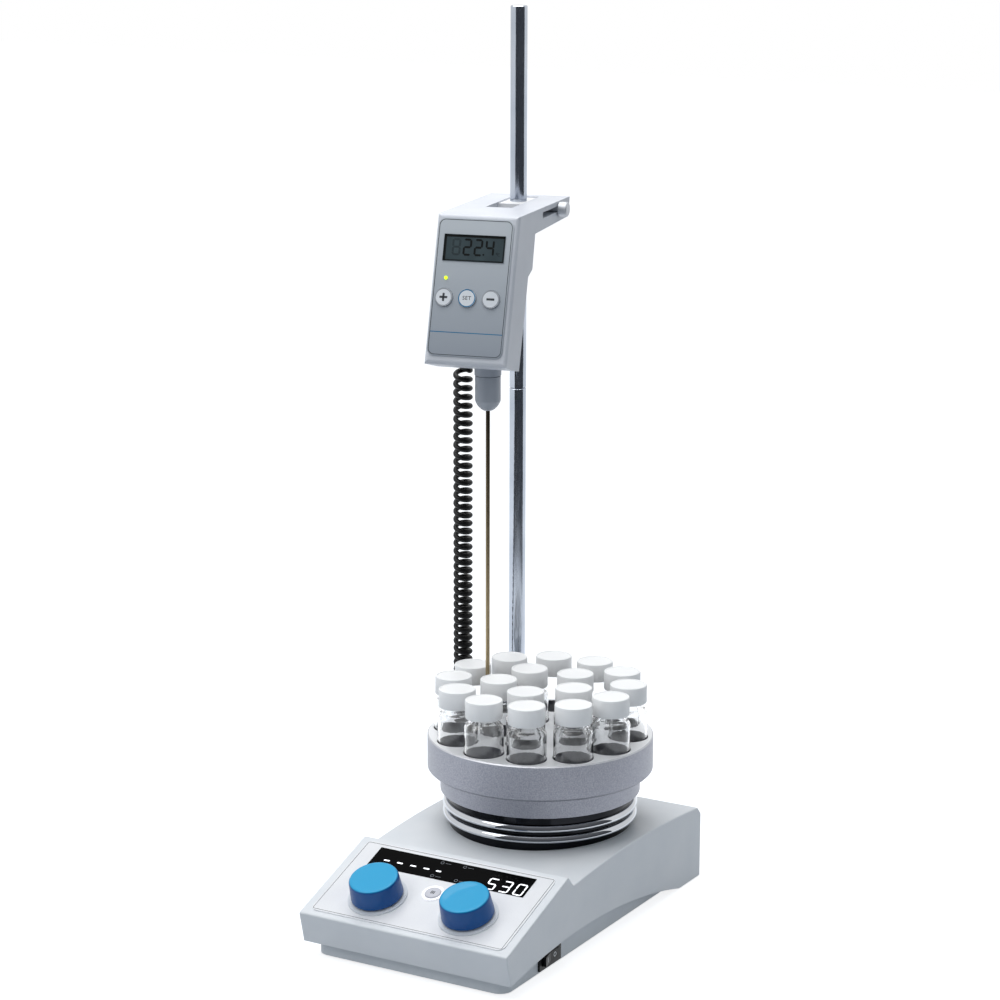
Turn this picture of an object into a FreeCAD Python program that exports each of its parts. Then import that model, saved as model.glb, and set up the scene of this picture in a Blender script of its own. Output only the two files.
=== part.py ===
"""Heated magnetic stirrer with a vial block, a support rod and a temperature controller on the rod.

The origin is on the table, under the middle of the base. +Z is up, the control panel faces -Y and
+X is the operator's right. Lengths are in millimetres, angles in degrees.
"""
import FreeCAD, Part
import math
import os
import re

import Sketcher

from FreeCAD import Placement, Rotation, Vector

DIMENSIONS = {
    # Base casing: a side profile (back is +Y), padded to the base width.
    "base_width": 162, "casing_wall": 3,
    "front_low_y": -134, "front_low_z": 11, "front_top_y": -139.4, "front_top_z": 33,
    "ridge_y": -57, "ridge_z": 62, "groove_y": -49.5, "groove_z": 54,
    "deck_radius": 918, "deck_back_y": 136, "deck_back_z": 53.5,
    "rear_y": 141, "rear_shoulder_z": 48, "rear_foot_z": 0.8, "arch_end_y": 108, "arch_radius": 551,
    "casing_edge": 1, "edge_rise": 12, "ridge_round": 1.5, "panel_angle": 19.4,
    "boss_radius": 5, "boss_x": 64, "boss_front_y": -112, "boss_rear_y": 88,
    "boss_front_top": 40.3, "boss_rear_top": 55.5, "post_x": 54, "post_low_up": 14, "post_high_up": 52,
    # Recessed plinth under the casing, and its feet.
    "plinth_half_width": 74, "plinth_front_y": -129.5, "plinth_rear_y": 136,
    "plinth_low": 2, "plinth_top": 22, "plinth_wall": 3, "plinth_corner": 9,
    "foot_radius": 9, "foot_x": 56, "foot_front_y": -108, "foot_rear_y": 104,
    "screw_head_radius": 3.4, "screw_head_depth": 1.6, "screw_radius": 1.6, "screw_length": 14,
    # Control panel, measured up the slope from the casing's front edge.
    "inlay_half_width": 75, "inlay_low": 5, "inlay_high": 83, "inlay_thick": 0.6, "inlay_corner": 5,
    "window_half_width": 61.5, "window_low": 58.3, "window_high": 78.4, "window_thick": 0.9,
    "knob_x": 35.5, "knob_up": 30, "knob_base_radius": 18, "knob_top_radius": 16, "knob_height": 19.6,
    "knob_gap": 1.0, "knob_round": 1.2, "knob_skirt": 1.4, "bezel_radius": 20.5, "bezel_thick": 1.2,
    "shaft_radius": 3, "shaft_play": 0.05, "neck_radius": 4.4, "neck_top": 2.2, "encoder_side": 12,
    "button_up": 44, "button_radius": 5.6, "button_play": 0.05, "button_top": 2, "button_flange": 6.8,
    "ring_radius": 7.6, "ring_bore": 5.95, "ring_top": 1.4,
    "board_depth": 9.4, "board_thick": 1.6, "board_half_width": 58, "board_low": 8, "board_high": 80,
    "cell_half_width": 52, "cell_low": 60.3, "cell_high": 76.3, "cell_play": 0.2,
    "tact_side": 6, "tact_high": 4.6,
    # Rocker switch in the plinth's right wall, mains inlet and probe socket in the rear wall.
    "switch_y": -71.5, "switch_length": 29, "switch_z": 9.6, "switch_high": 12, "switch_lip": 1.5,
    "switch_depth": 15, "rocker_length": 22, "rocker_high": 6.6, "rocker_tilt": 6, "rocker_proud": 3.2,
    "pivot_radius": 1, "pivot_play": 0.05, "pivot_length": 8,
    "inlet_x": 45, "inlet_z": 33, "inlet_width": 27, "inlet_high": 20, "inlet_depth": 20,
    "inlet_lip": 2, "inlet_cavity_width": 24, "inlet_cavity_high": 16.4, "inlet_cavity_depth": 17,
    "socket_x": -45, "socket_z": 32, "socket_radius": 8, "socket_lip_radius": 10, "socket_bore": 5.5,
    "plug_radius": 7, "plug_nose": 8, "plug_length": 25,
    # Round heating plate and the drive below it.
    "plate_y": 46.9, "seat_low": 52, "seat_radius": 65, "seat_bore": 57, "seat_top": 63.4,
    "trim_edge": 67.7, "trim_nose": 2.5, "trim_top": 67.8, "insulation_radius": 65.5, "insulation_top": 71.2,
    "plate_radius": 66, "plate_top": 85.3, "upper_trim_top": 75.6, "heater_radius": 52,
    "heater_bore": 16, "heater_thick": 3, "ledge_radius": 68.5, "ledge_low": 46,
    "motor_radius": 27, "motor_low": 7, "motor_top": 38, "bearing_radius": 6, "bearing_high": 5,
    "axle_radius": 2.5, "axle_play": 0.05, "axle_low": 16, "axle_top": 57, "carrier_half_length": 33,
    "carrier_half_width": 7.5, "carrier_low": 53, "carrier_thick": 4, "magnet_radius": 6, "magnet_high": 5,
    "magnet_offset": 25, "bracket_half_width": 44, "bracket_half_length": 34,
    # Power board in the plinth, under the control panel.
    "main_board_z": 12, "main_board_left": -55, "main_board_front": -117, "main_board_width": 95,
    "main_board_length": 56, "main_post_left": -45, "main_post_right": 30, "main_post_front": -112,
    "main_post_back": -66,
    # Vial block: a stepped disc on the plate with two rings of wells.
    "block_x": 0.2, "block_y": 46.6, "block_low": 82.3, "block_step_radius": 70.7,
    "block_step_top": 97.1, "block_radius": 79.7, "block_top": 122.4, "block_edge": 1.5,
    "recess_radius": 66.6, "well_radius": 14.25, "well_depth": 22,
    "outer_count": 12, "outer_ring": 62.2, "outer_angle": 170.7,
    "inner_count": 5, "inner_ring": 29.5, "inner_angle": 207,
    "vial_radius": 13.75, "vial_wall": 1.2, "vial_shoulder": 141, "neck_low": 144.5,
    "vial_neck_radius": 10.6, "vial_neck_wall": 1.4, "vial_rim": 158,
    "cap_radius": 13, "cap_low": 145, "cap_top": 160.7, "cap_round": 1,
    # Support rod in two screwed lengths.
    "rod_x": -61, "rod_y": 119.4, "rod_radius": 6, "rod_low": 30, "rod_joint": 351.5, "rod_top": 623,
    "rod_chamfer": 0.6, "socket_wall": 3.5, "rod_play": 0.06,
    # Temperature controller, in a frame on the rod's axis with -Y along its arm.
    "swivel": 12.2, "case_half_width": 29.5, "arm_top": 487, "arm_low": 473.3, "arm_back_y": 28,
    "arm_back_low_y": 24.5, "panel_top_y": -89, "panel_low_y": -119.6, "panel_low_z": 388.3,
    "case_back_low_y": -89.9, "case_back_low_z": 380.9, "step_low_y": -69.7, "step_low_z": 443.3,
    "step_high_y": -60.2, "step_high_z": 447.2, "arm_root_y": -53.8, "arm_root_z": 471,
    "case_edge": 3, "case_wall": 3,
    "slot_half_width": 9.5, "slot_front_y": -45, "slot_back_y": 19,
    "clamp_front_y": -17, "clamp_low": 476, "clamp_top": 486, "side_slot_high": 4.2,
    "side_slot_front_y": -36.5, "side_slot_back_y": 5, "screw_z": 481.5, "clamp_screw_radius": 2,
    "clamp_screw_tip": 6.6, "clamp_knob_radius": 5, "clamp_knob_start": 30.1, "clamp_knob_end": 36.8,
    "rear_half_width": 23, "rear_back_y": -63, "rear_round": 14, "rear_top": 440, "rear_wall": 2.5,
    "sheet_left": -27.7, "sheet_right": 26.1, "sheet_low": 5.9, "sheet_high": 100.6, "sheet_thick": 0.8,
    "sheet_corner": 5, "lcd_left": -22.6, "lcd_right": 21.2, "lcd_low": 71.2, "lcd_high": 89.6,
    "lcd_proud": 0.5, "key_up": 46, "key_left": -19, "key_middle": -2.2, "key_right": 14.7,
    "key_radius": 6.2, "key_play": 0.05, "key_top": 2, "key_flange": 6.5,
    "lamp_x": -18.8, "lamp_up": 59.4, "lamp_radius": 1.2,
    "space_half_width": 26.3, "space_low": 7, "space_high": 94, "space_deep": 27,
    "back_half_width": 20.5, "back_low": 9, "back_high": 63,
    "circuit_depth": 13, "circuit_thick": 1.6, "circuit_half_width": 24,
    "circuit_low": 10, "circuit_high": 90,
    # Probe, its gland, and the curly cord from the controller down to the plug.
    "probe_x": -44, "probe_y": 48.2, "probe_radius": 1.5, "probe_hole": 2, "probe_tip": 96,
    "probe_end": 390, "collar_radius": 9.35, "collar_low": 374, "nut_low": 349, "nut_straight": 353,
    "gland_radius": 3.8, "gland_low": 380, "gland_lead": 1, "wire_radius": 1.8, "coil_radius": 5.2,
    "coil_turns": 39, "coil_crowding": 0.09, "coil_exit": 6, "tail_lead": 18,
    "coil_start_x": -64.6, "coil_start_y": 48.8, "coil_start_z": 377,
    "coil_end_x": -85.8, "coil_end_y": 83.9, "coil_end_z": 140,
}

# Where the cord's free tail passes, from the curls down behind the base to the plug.
TAIL_ROUTE = ((-89, 104, 84), (-87, 131, 67), (-81, 160, 60), (-77, 188, 52), (-60, 204, 40))

doc = FreeCAD.newDocument("vial_stirrer")
sheet = doc.addObject("Spreadsheet::Sheet", "Sheet")
nodes = []


def fill_sheet():
    """Write every driving dimension to the sheet, with its alias."""
    for row, (alias, number) in enumerate(DIMENSIONS.items(), 1):
        sheet.set("A%d" % row, alias)
        sheet.set("B%d" % row, str(number))
        sheet.setAlias("B%d" % row, alias)
    doc.recompute()


def val(text):
    """Return the value of a sum of sheet aliases and numbers, such as 'rod_radius + 2'."""
    total = 0.0
    for sign, word in re.findall(r"([-+]?)\s*([a-z_]+|[0-9.]+)", text):
        number = float(sheet.get(word)) if word[0].isalpha() else float(word)
        total += -number if sign == "-" else number
    return total


def bound(text):
    """Return the formula with its aliases written as cells of the sheet."""
    return re.sub(r"[a-z_]*[a-z]", lambda match: "Sheet." + match.group(0), text)


fill_sheet()
PANEL = Placement(Vector(0, val("front_top_y"), val("front_top_z")),
                  Rotation(Vector(1, 0, 0), val("panel_angle")))
CONTROLLER = Placement(Vector(val("rod_x"), val("rod_y"), 0), Rotation(Vector(0, 0, 1), val("swivel")))
FACE_RISE = val("arm_top - panel_low_z")
FACE_RUN = val("panel_top_y - panel_low_y")
FACE = Placement(Vector(0, val("panel_low_y"), val("panel_low_z")),
                 Rotation(Vector(1, 0, 0), math.degrees(math.atan2(FACE_RISE, FACE_RUN))))


def feature(kind, name, at, turn, frame, sizes):
    """Add a Part primitive whose sizes follow the sheet."""
    made = doc.addObject(kind, name)
    for prop, text in sizes.items():
        made.setExpression(prop, bound(text))
    own = Placement(Vector(*at), turn or Rotation())
    made.Placement = frame.multiply(own) if frame else own
    return made


def cylinder(name, radius, height, at, turn=None, frame=None):
    """Add a cylinder that stands on a point."""
    return feature("Part::Cylinder", name, at, turn, frame, {"Radius": radius, "Height": height})


def box(name, size, at, turn=None, frame=None):
    """Add a box from its low corner."""
    sizes = dict(zip(("Length", "Width", "Height"), size))
    return feature("Part::Box", name, at, turn, frame, sizes)


def fuse(name, *shapes):
    """Join several objects."""
    made = doc.addObject("Part::MultiFuse", name)
    made.Shapes = list(shapes)
    return made


def cut(name, base, *tools):
    """Take one or more tools from a base."""
    made = doc.addObject("Part::Cut", name)
    made.Base = base
    made.Tool = tools[0] if len(tools) == 1 else fuse(name + "_tools", *tools)
    return made


def node(name, made, frame=None):
    """Name a finished sub-part and keep it for the export."""
    made.Label = name
    if frame:
        made.Placement = frame.multiply(made.Placement)
    nodes.append((name, made))
    return made


def solid_group(name, shapes):
    """Keep several like solids as one sub-part."""
    made = doc.addObject("Part::Feature", name + "_group")
    made.Shape = Part.makeCompound(shapes)
    return node(name, made)


def plane_of(body, role):
    """Return the origin plane of a body with this role."""
    return next(plane for plane in body.Origin.OriginFeatures if plane.Role == role)


def sketch_on(body, name, role, lift=0.0):
    """Attach a sketch to an origin plane of its body, lifted along the plane's normal."""
    sketch = body.newObject("Sketcher::SketchObject", name)
    sketch.AttachmentSupport = [(plane_of(body, role), "")]
    sketch.MapMode = "FlatFace"
    sketch.AttachmentOffset = Placement(Vector(0, 0, lift), Rotation())
    return sketch


def pin_point(sketch, line, end, across, up):
    """Hold one end of a line at a place given by two formulas."""
    for kind, axis, text in (("DistanceX", -2, across), ("DistanceY", -1, up)):
        number = val(text)
        if abs(number) < 1e-9:
            sketch.addConstraint(Sketcher.Constraint("PointOnObject", line, end, axis))
            continue
        index = sketch.addConstraint(Sketcher.Constraint(kind, -1, 1, line, end, number))
        sketch.setExpression("Constraints[%d]" % index, bound(text))


def arc_through(start, end, radius, side):
    """Return an arc between two points that bulges to the given side of their chord."""
    middle = (start + end) * 0.5
    chord = end - start
    across = Vector(-chord.y, chord.x, 0).normalize() * side
    rise = radius - math.sqrt(radius ** 2 - chord.Length ** 2 / 4)
    ends = (end, start) if side > 0 else (start, end)
    return Part.Arc(ends[0], middle + across * rise, ends[1])


def outline(sketch, points, arcs=None):
    """Draw a closed outline through points, with an arc after each point named in arcs."""
    arcs = arcs or {}
    places = [Vector(val(across), val(up), 0) for across, up in points]
    starts = []
    for index, (across, up) in enumerate(points):
        after = places[(index + 1) % len(places)]
        if index in arcs:
            radius, side = arcs[index]
            piece = arc_through(places[index], after, val(radius), side)
            line = sketch.addGeometry(piece)
            flipped = sketch.Geometry[line].StartPoint.distanceToPoint(places[index]) > 1e-6
            sizing = sketch.addConstraint(Sketcher.Constraint("Radius", line, val(radius)))
            sketch.setExpression("Constraints[%d]" % sizing, bound(radius))
        else:
            line = sketch.addGeometry(Part.LineSegment(places[index], after))
            flipped = False
        starts.append((line, 2 if flipped else 1, 1 if flipped else 2))
    for index, (line, start, end) in enumerate(starts):
        following = starts[(index + 1) % len(starts)]
        sketch.addConstraint(Sketcher.Constraint("Coincident", line, end, following[0], following[1]))
        pin_point(sketch, line, start, *points[index])


def prism(name, role, points, depth, arcs=None, lift=0.0, midplane=False):
    """Pad an outline drawn on an origin plane."""
    body = doc.addObject("PartDesign::Body", name)
    sketch = sketch_on(body, name + "_outline", role, lift)
    outline(sketch, points, arcs)
    pad = body.newObject("PartDesign::Pad", name + "_pad")
    pad.Profile = sketch
    pad.setExpression("Length", bound(depth))
    pad.Midplane = midplane
    doc.recompute()
    return body


def round_edges(body, name, radius, chosen):
    """Round the edges of a body that a test picks out."""
    base = body.Tip
    names = ["Edge%d" % index for index, edge in enumerate(base.Shape.Edges, 1) if chosen(edge)]
    rounding = body.newObject("PartDesign::Fillet", name)
    rounding.Base = (base, names)
    rounding.setExpression("Radius", bound(radius))
    doc.recompute()


def is_upright(edge):
    """Tell whether an edge is straight and along Z."""
    ends = [vertex.Point for vertex in edge.Vertexes]
    return len(ends) == 2 and (ends[1] - ends[0]).cross(Vector(0, 0, 1)).Length < 1e-6


def plate(name, across, along, low, thick, corner):
    """Make a flat plate with rounded corners from its limits across and along."""
    left, right = across
    front, back = along
    corners = [(left, front), (right, front), (right, back), (left, back)]
    body = prism(name, "XY_Plane", corners, thick, lift=val(low))
    if corner:
        round_edges(body, name + "_corners", corner, is_upright)
    return body


def turned(name, points, arcs=None):
    """Revolve an outline of radius and height about the upright axis."""
    body = doc.addObject("PartDesign::Body", name)
    sketch = sketch_on(body, name + "_outline", "XZ_Plane")
    outline(sketch, points, arcs)
    turn = body.newObject("PartDesign::Revolution", name + "_turn")
    turn.Profile = sketch
    turn.ReferenceAxis = (sketch, ["V_Axis"])
    turn.Angle = 360
    doc.recompute()
    return body


def ring_points(bore, radius, low, top):
    """Return the outline of a plain ring."""
    return [(bore, low), (radius, low), (radius, top), (bore, top)]


def moved(made, x, y, z=0.0):
    """Set a body down at a place."""
    made.Placement = Placement(Vector(x, y, z), Rotation())
    return made


def along_y(x, y, z):
    """Return a placement that turns an upright piece to point along +Y."""
    return Placement(Vector(x, y, z), Rotation(Vector(1, 0, 0), -90))


def casing_block():
    """Make the outside of the casing as one rounded block."""
    points = [("front_low_y", "front_low_z"), ("front_top_y", "front_top_z"), ("ridge_y", "ridge_z"),
              ("groove_y", "groove_z"), ("deck_back_y", "deck_back_z"), ("rear_y", "rear_shoulder_z"),
              ("rear_y", "rear_foot_z"), ("arch_end_y", "rear_foot_z")]
    body = prism("casing", "YZ_Plane", points, "base_width", midplane=True,
                 arcs={3: ("deck_radius", 1), 7: ("arch_radius", -1)})
    half = val("base_width") / 2

    def crosses(edge, y, z):
        """Tell whether an edge runs across the base at this place."""
        middle = edge.CenterOfMass
        return abs(middle.y - y) < 0.05 and abs(middle.z - z) < 0.05

    tops = points[1:6]
    round_edges(body, "casing_ridges", "ridge_round",
                lambda edge: any(crosses(edge, val(y), val(z)) for y, z in tops))

    def on_side(edge):
        """Tell whether an edge bounds a side wall above its lower arch."""
        middle = edge.CenterOfMass
        low = val("front_low_z + edge_rise" if middle.y < val("boss_rear_y") else "plinth_low")
        return abs(abs(middle.x) - half) < 0.05 and middle.z > low

    round_edges(body, "casing_edges", "casing_edge", on_side)
    return body


def casing_hollow():
    """Make the space inside the casing, open below."""
    slope = math.radians(val("panel_angle"))
    wall = val("casing_wall")
    drop = wall / math.cos(slope)
    front = val("front_top_y") + wall
    front_z = val("front_top_z") + wall * math.tan(slope) - drop
    ceiling = val("groove_z") - wall
    bend = val("front_top_y") + (ceiling + drop - val("front_top_z")) / math.tan(slope)
    inner = [("front_low_y + casing_wall", "0 - 5"), ("0 - %.3f" % -front, "%.3f" % front_z),
             ("0 - %.3f" % -bend, "groove_z - casing_wall"), ("groove_y", "groove_z - casing_wall"),
             ("deck_back_y", "deck_back_z - casing_wall"), ("rear_y - casing_wall", "rear_shoulder_z - 2"),
             ("rear_y - casing_wall", "0 - 5")]
    return prism("casing_space", "YZ_Plane", inner, "base_width - casing_wall - casing_wall",
                 midplane=True, arcs={3: ("deck_radius - casing_wall", 1)})


def slope_hole(name, radius, x, up):
    """Make a cutter for a round hole in the sloping panel."""
    return cylinder(name, radius, "casing_wall + 4", (x, up, -5), frame=PANEL)


def base_casing():
    """Make the upper shell, the plinth with its feet, and the screws that join them."""
    wall = val("casing_wall")
    shell = cut("casing_walls", casing_block(), casing_hollow())
    bosses = []
    for side in (-1, 1):
        for y, top in (("boss_front_y", "boss_front_top"), ("boss_rear_y", "boss_rear_top")):
            foot = val("plinth_low") + val("plinth_wall")
            bosses.append(cylinder("casing_boss", "boss_radius", top + " - plinth_low - plinth_wall",
                                   (side * val("boss_x"), val(y), foot)))
        for up in ("post_low_up", "post_high_up"):
            bosses.append(cylinder("board_post", "casing_wall", "board_depth - casing_wall + 0.5",
                                   (side * val("post_x"), val(up), -val("board_depth")), frame=PANEL))
    ledge = turned("plate_ledge", ring_points("seat_bore", "ledge_radius", "ledge_low", "seat_low + 2"))
    moved(ledge, 0, val("plate_y"))
    whole = fuse("casing_with_bosses", shell, ledge, *bosses)
    plate_y = val("plate_y")
    tools = [
        cylinder("plate_opening", "seat_bore", "30", (0, plate_y, 40)),
        cylinder("plate_counterbore", "seat_radius", "20", (0, plate_y, val("seat_low"))),
        cylinder("rod_opening", "rod_radius + 0.4", "20", (val("rod_x"), val("rod_y"), 45)),
        slope_hole("button_opening", "button_radius + button_play", 0, val("button_up")),
        box("display_opening", ("cell_half_width + cell_half_width + cell_play + cell_play",
                                "cell_high - cell_low + cell_play + cell_play", "14"),
            (-val("cell_half_width + cell_play"), val("cell_low - cell_play"), -12), frame=PANEL),
        box("inlet_opening", ("inlet_width", "casing_wall + 4", "inlet_high"),
            (val("inlet_x") - val("inlet_width") / 2, val("rear_y") - wall - 2,
             val("inlet_z") - val("inlet_high") / 2)),
        cylinder("socket_opening", "socket_radius", "casing_wall + 4",
                 (val("socket_x"), val("rear_y") - wall - 2, val("socket_z")), along_y(0, 0, 0).Rotation),
    ]
    for side in (-1, 1):
        tools.append(slope_hole("knob_opening", "neck_radius", side * val("knob_x"), val("knob_up")))
        for y in ("boss_front_y", "boss_rear_y"):
            tools.append(cylinder("boss_bore", "screw_radius", "screw_length",
                                  (side * val("boss_x"), val(y), 0)))
    node("base_shell", cut("casing_finished", whole, *tools))
    plinth()


def plinth():
    """Make the recessed plinth tray, its feet and the case screws."""
    half, thick = "plinth_half_width", "plinth_wall"
    block = plate("plinth_block", ("0 - " + half, half), ("plinth_front_y", "plinth_rear_y"), "plinth_low",
                  "plinth_top - plinth_low", "plinth_corner")
    space = plate("plinth_space", ("%s - %s" % (thick, half), "%s - %s" % (half, thick)),
                  ("plinth_front_y + " + thick, "plinth_rear_y - " + thick),
                  "plinth_low + plinth_wall", "plinth_top", "plinth_corner - plinth_wall")
    floor = val("plinth_low") + val("plinth_wall")
    posts = []
    for x in ("main_post_left", "main_post_right"):
        for y in ("main_post_front", "main_post_back"):
            posts.append(cylinder("main_board_post", "3.5", "main_board_z - plinth_low - plinth_wall",
                                  (val(x), val(y), floor)))
    tray = fuse("plinth_tray", cut("plinth_walls", block, space), *posts)
    tools = [box("switch_opening", ("plinth_wall + 4", "switch_length - 3", "switch_high - 3"),
                 (val("plinth_half_width") - 5, val("switch_y") - val("switch_length") / 2 + 1.5,
                  val("switch_z") - val("switch_high") / 2 + 1.5))]
    screws = []
    for side in (-1, 1):
        for y in (val("boss_front_y"), val("boss_rear_y")):
            place = Vector(side * val("boss_x"), y, val("plinth_low"))
            tools.append(cylinder("screw_hole", "screw_radius", "10", (place.x, place.y, 0)))
            tools.append(cylinder("screw_sink", "screw_head_radius", "screw_head_depth", tuple(place)))
            head = Part.makeCylinder(val("screw_head_radius"), val("screw_head_depth"), place)
            shank = Part.makeCylinder(val("screw_radius"), val("screw_length") - val("plinth_low"), place)
            screws.append(head.fuse(shank).removeSplitter())
    node("base_plinth", cut("plinth_finished", tray, *tools))
    solid_group("case_screws", screws)
    feet = []
    for side in (-1, 1):
        for y in (val("foot_front_y"), val("foot_rear_y")):
            low = Vector(side * val("foot_x"), y, 0)
            feet.append(Part.makeCone(val("foot_radius") - 1, val("foot_radius"), val("plinth_low"), low))
    solid_group("rubber_feet", feet)


def control_panel():
    """Make the inlay, display, knobs, push button and the circuit board behind them."""
    inlay = plate("inlay_sheet", ("0 - inlay_half_width", "inlay_half_width"), ("inlay_low", "inlay_high"),
                  "0", "inlay_thick", "inlay_corner")
    tools = [box("inlay_window", ("window_half_width + window_half_width", "window_high - window_low", "4"),
                 (-val("window_half_width"), val("window_low"), -1)),
             cylinder("inlay_button", "ring_radius", "4", (0, val("button_up"), -1))]
    for side in (-1, 1):
        tools.append(cylinder("inlay_knob", "neck_radius + 0.4", "4",
                              (side * val("knob_x"), val("knob_up"), -1)))
    node("panel_inlay", cut("inlay_finished", inlay, *tools), PANEL)
    node("display_window", plate("window_glass", ("0 - window_half_width", "window_half_width"),
                                 ("window_low", "window_high"), "0", "window_thick", None), PANEL)
    ring = turned("button_bezel", ring_points("ring_bore", "ring_radius", "0", "ring_top"))
    node("button_ring", moved(ring, 0, val("button_up")), PANEL)
    deep = -val("board_depth")
    board = box("board_sheet",
                ("board_half_width + board_half_width", "board_high - board_low", "board_thick"),
                (-val("board_half_width"), val("board_low"), deep - val("board_thick")))
    glass = box("display_cell", ("cell_half_width + cell_half_width", "cell_high - cell_low", "board_depth"),
                (-val("cell_half_width"), val("cell_low"), deep))
    switch = box("tact_switch", ("tact_side", "tact_side", "tact_high"),
                 (-val("tact_side") / 2, val("button_up") - val("tact_side") / 2, deep))
    node("display_board", fuse("board_assembled", board, glass, switch), PANEL)
    button = turned("push_button", [
        ("0", "0 - 3.5"), ("button_flange", "0 - 3.5"), ("button_flange", "0 - 3.1"),
        ("button_radius", "0 - 3.1"), ("button_radius", "button_top - 0.5"),
        ("button_radius - 0.5", "button_top"), ("0", "button_top")])
    node("panel_button", moved(button, 0, val("button_up")), PANEL)
    for side, word in ((-1, "left"), (1, "right")):
        rotary_control(word, side * val("knob_x"), val("knob_up"))


def rotary_control(word, x, up):
    """Make one encoder with its bezel and knob."""
    bore = "shaft_radius + shaft_play"
    case = box(word + "_encoder_case", ("encoder_side", "encoder_side", "board_depth - casing_wall"),
               (x - val("encoder_side") / 2, up - val("encoder_side") / 2, -val("board_depth")))
    neck = cylinder(word + "_neck", "neck_radius", "casing_wall + neck_top + 1", (x, up, -4))
    hole = cylinder(word + "_neck_bore", bore, "20", (x, up, -4.5))
    whole = fuse(word + "_encoder_whole", case, neck)
    node(word + "_encoder", cut(word + "_encoder_bored", whole, hole), PANEL)
    bezel = turned(word + "_bezel", ring_points("neck_radius + 1", "bezel_radius", "inlay_thick",
                                                "inlay_thick + bezel_thick"))
    node(word + "_knob_bezel", moved(bezel, x, up), PANEL)
    low = "inlay_thick + bezel_thick + knob_gap"
    top = low + " + knob_height"
    knob = turned(word + "_grip", [
        ("0", "0 - 3"), ("shaft_radius", "0 - 3"), ("shaft_radius", low), ("knob_base_radius", low),
        ("knob_base_radius", low + " + knob_skirt"), ("knob_top_radius", top + " - knob_round"),
        ("knob_top_radius - knob_round", top), ("0", top)])
    node(word + "_knob", moved(knob, x, up), PANEL)


def power_switch():
    """Make the rocker switch: a framed box in the plinth's wall and the rocker on its pivot."""
    wall = val("plinth_half_width")
    y, z = val("switch_y"), val("switch_z")
    length, high = val("switch_length"), val("switch_high")
    lip = box("switch_lip_plate", ("switch_lip", "switch_length", "switch_high"),
              (wall, y - length / 2, z - high / 2))
    case = box("switch_case", ("switch_depth", "switch_length - 3", "switch_high - 3"),
               (wall - val("switch_depth"), y - length / 2 + 1.5, z - high / 2 + 1.5))
    space = box("switch_space", ("10", "rocker_length + 0.8", "rocker_high + 0.6"),
                (wall - 7, y - val("rocker_length") / 2 - 0.4, z - val("rocker_high") / 2 - 0.3))
    pivot = cylinder("switch_pivot_hole", "pivot_radius + pivot_play", "pivot_length + 0.4",
                     (wall, y, z - val("pivot_length") / 2 - 0.2))
    node("power_switch_frame", cut("switch_box", fuse("switch_whole", lip, case), space, pivot))
    half = val("rocker_length") / 2
    rocker = prism("rocker_form", "XY_Plane", [
        ("0 - 1.5", "0 - %.2f" % (half - 1)), ("rocker_proud", "0 - %.2f" % half),
        ("rocker_proud - 1.6", "0"), ("rocker_proud", "%.2f" % half), ("0 - 1.5", "%.2f" % (half - 1))],
        "rocker_high", lift=-val("rocker_high") / 2)
    pin = cylinder("rocker_pivot", "pivot_radius", "pivot_length", (0, 0, -val("pivot_length") / 2))
    whole = fuse("rocker_with_pivot", rocker, pin)
    whole.Placement = Placement(Vector(wall, y, z), Rotation(Vector(0, 0, 1), val("rocker_tilt")))
    node("power_rocker", whole)


def rear_connectors():
    """Make the mains inlet with its pins and the socket of the probe cord."""
    x, z, rear = val("inlet_x"), val("inlet_z"), val("rear_y")
    width, high = val("inlet_width"), val("inlet_high")
    lip = box("inlet_lip_plate", ("inlet_width + 5", "inlet_lip", "inlet_high + 5"),
              (x - width / 2 - 2.5, rear, z - high / 2 - 2.5))
    case = box("inlet_case", ("inlet_width", "inlet_depth", "inlet_high"),
               (x - width / 2, rear - val("inlet_depth"), z - high / 2))
    mouth = rear + val("inlet_lip")
    deep = mouth - val("inlet_cavity_depth")
    space = box("inlet_space", ("inlet_cavity_width", "inlet_cavity_depth + 2", "inlet_cavity_high"),
                (x - val("inlet_cavity_width") / 2, deep, z - val("inlet_cavity_high") / 2))
    node("mains_inlet", cut("inlet_hollow", fuse("inlet_whole", lip, case), space))
    pins = []
    for across, up in ((-7, -2), (0, 2), (7, -2)):
        pins.append(Part.makeBox(2, 11, 4, Vector(x + across - 1, deep, z + up - 2)))
    solid_group("inlet_pins", pins)
    place = along_y(val("socket_x"), 0, val("socket_z"))
    socket = turned("socket_turned", [
        ("0", "rear_y - 14"), ("socket_radius", "rear_y - 14"), ("socket_radius", "rear_y"),
        ("socket_lip_radius", "rear_y"), ("socket_lip_radius", "rear_y + 2"), ("socket_bore", "rear_y + 2"),
        ("socket_bore", "rear_y + 2 - plug_nose"), ("0", "rear_y + 2 - plug_nose")])
    socket.Placement = place
    node("probe_socket", socket)
    plug = turned("plug_turned", [
        ("0", "rear_y + 2 - plug_nose"), ("socket_bore", "rear_y + 2 - plug_nose"),
        ("socket_bore", "rear_y + 2"), ("plug_radius", "rear_y + 2"), ("plug_radius", "rear_y + 17"),
        ("plug_radius - 3.4", "rear_y + 2 + plug_length"), ("0", "rear_y + 2 + plug_length")])
    plug.Placement = place
    node("cord_plug", plug)


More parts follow.
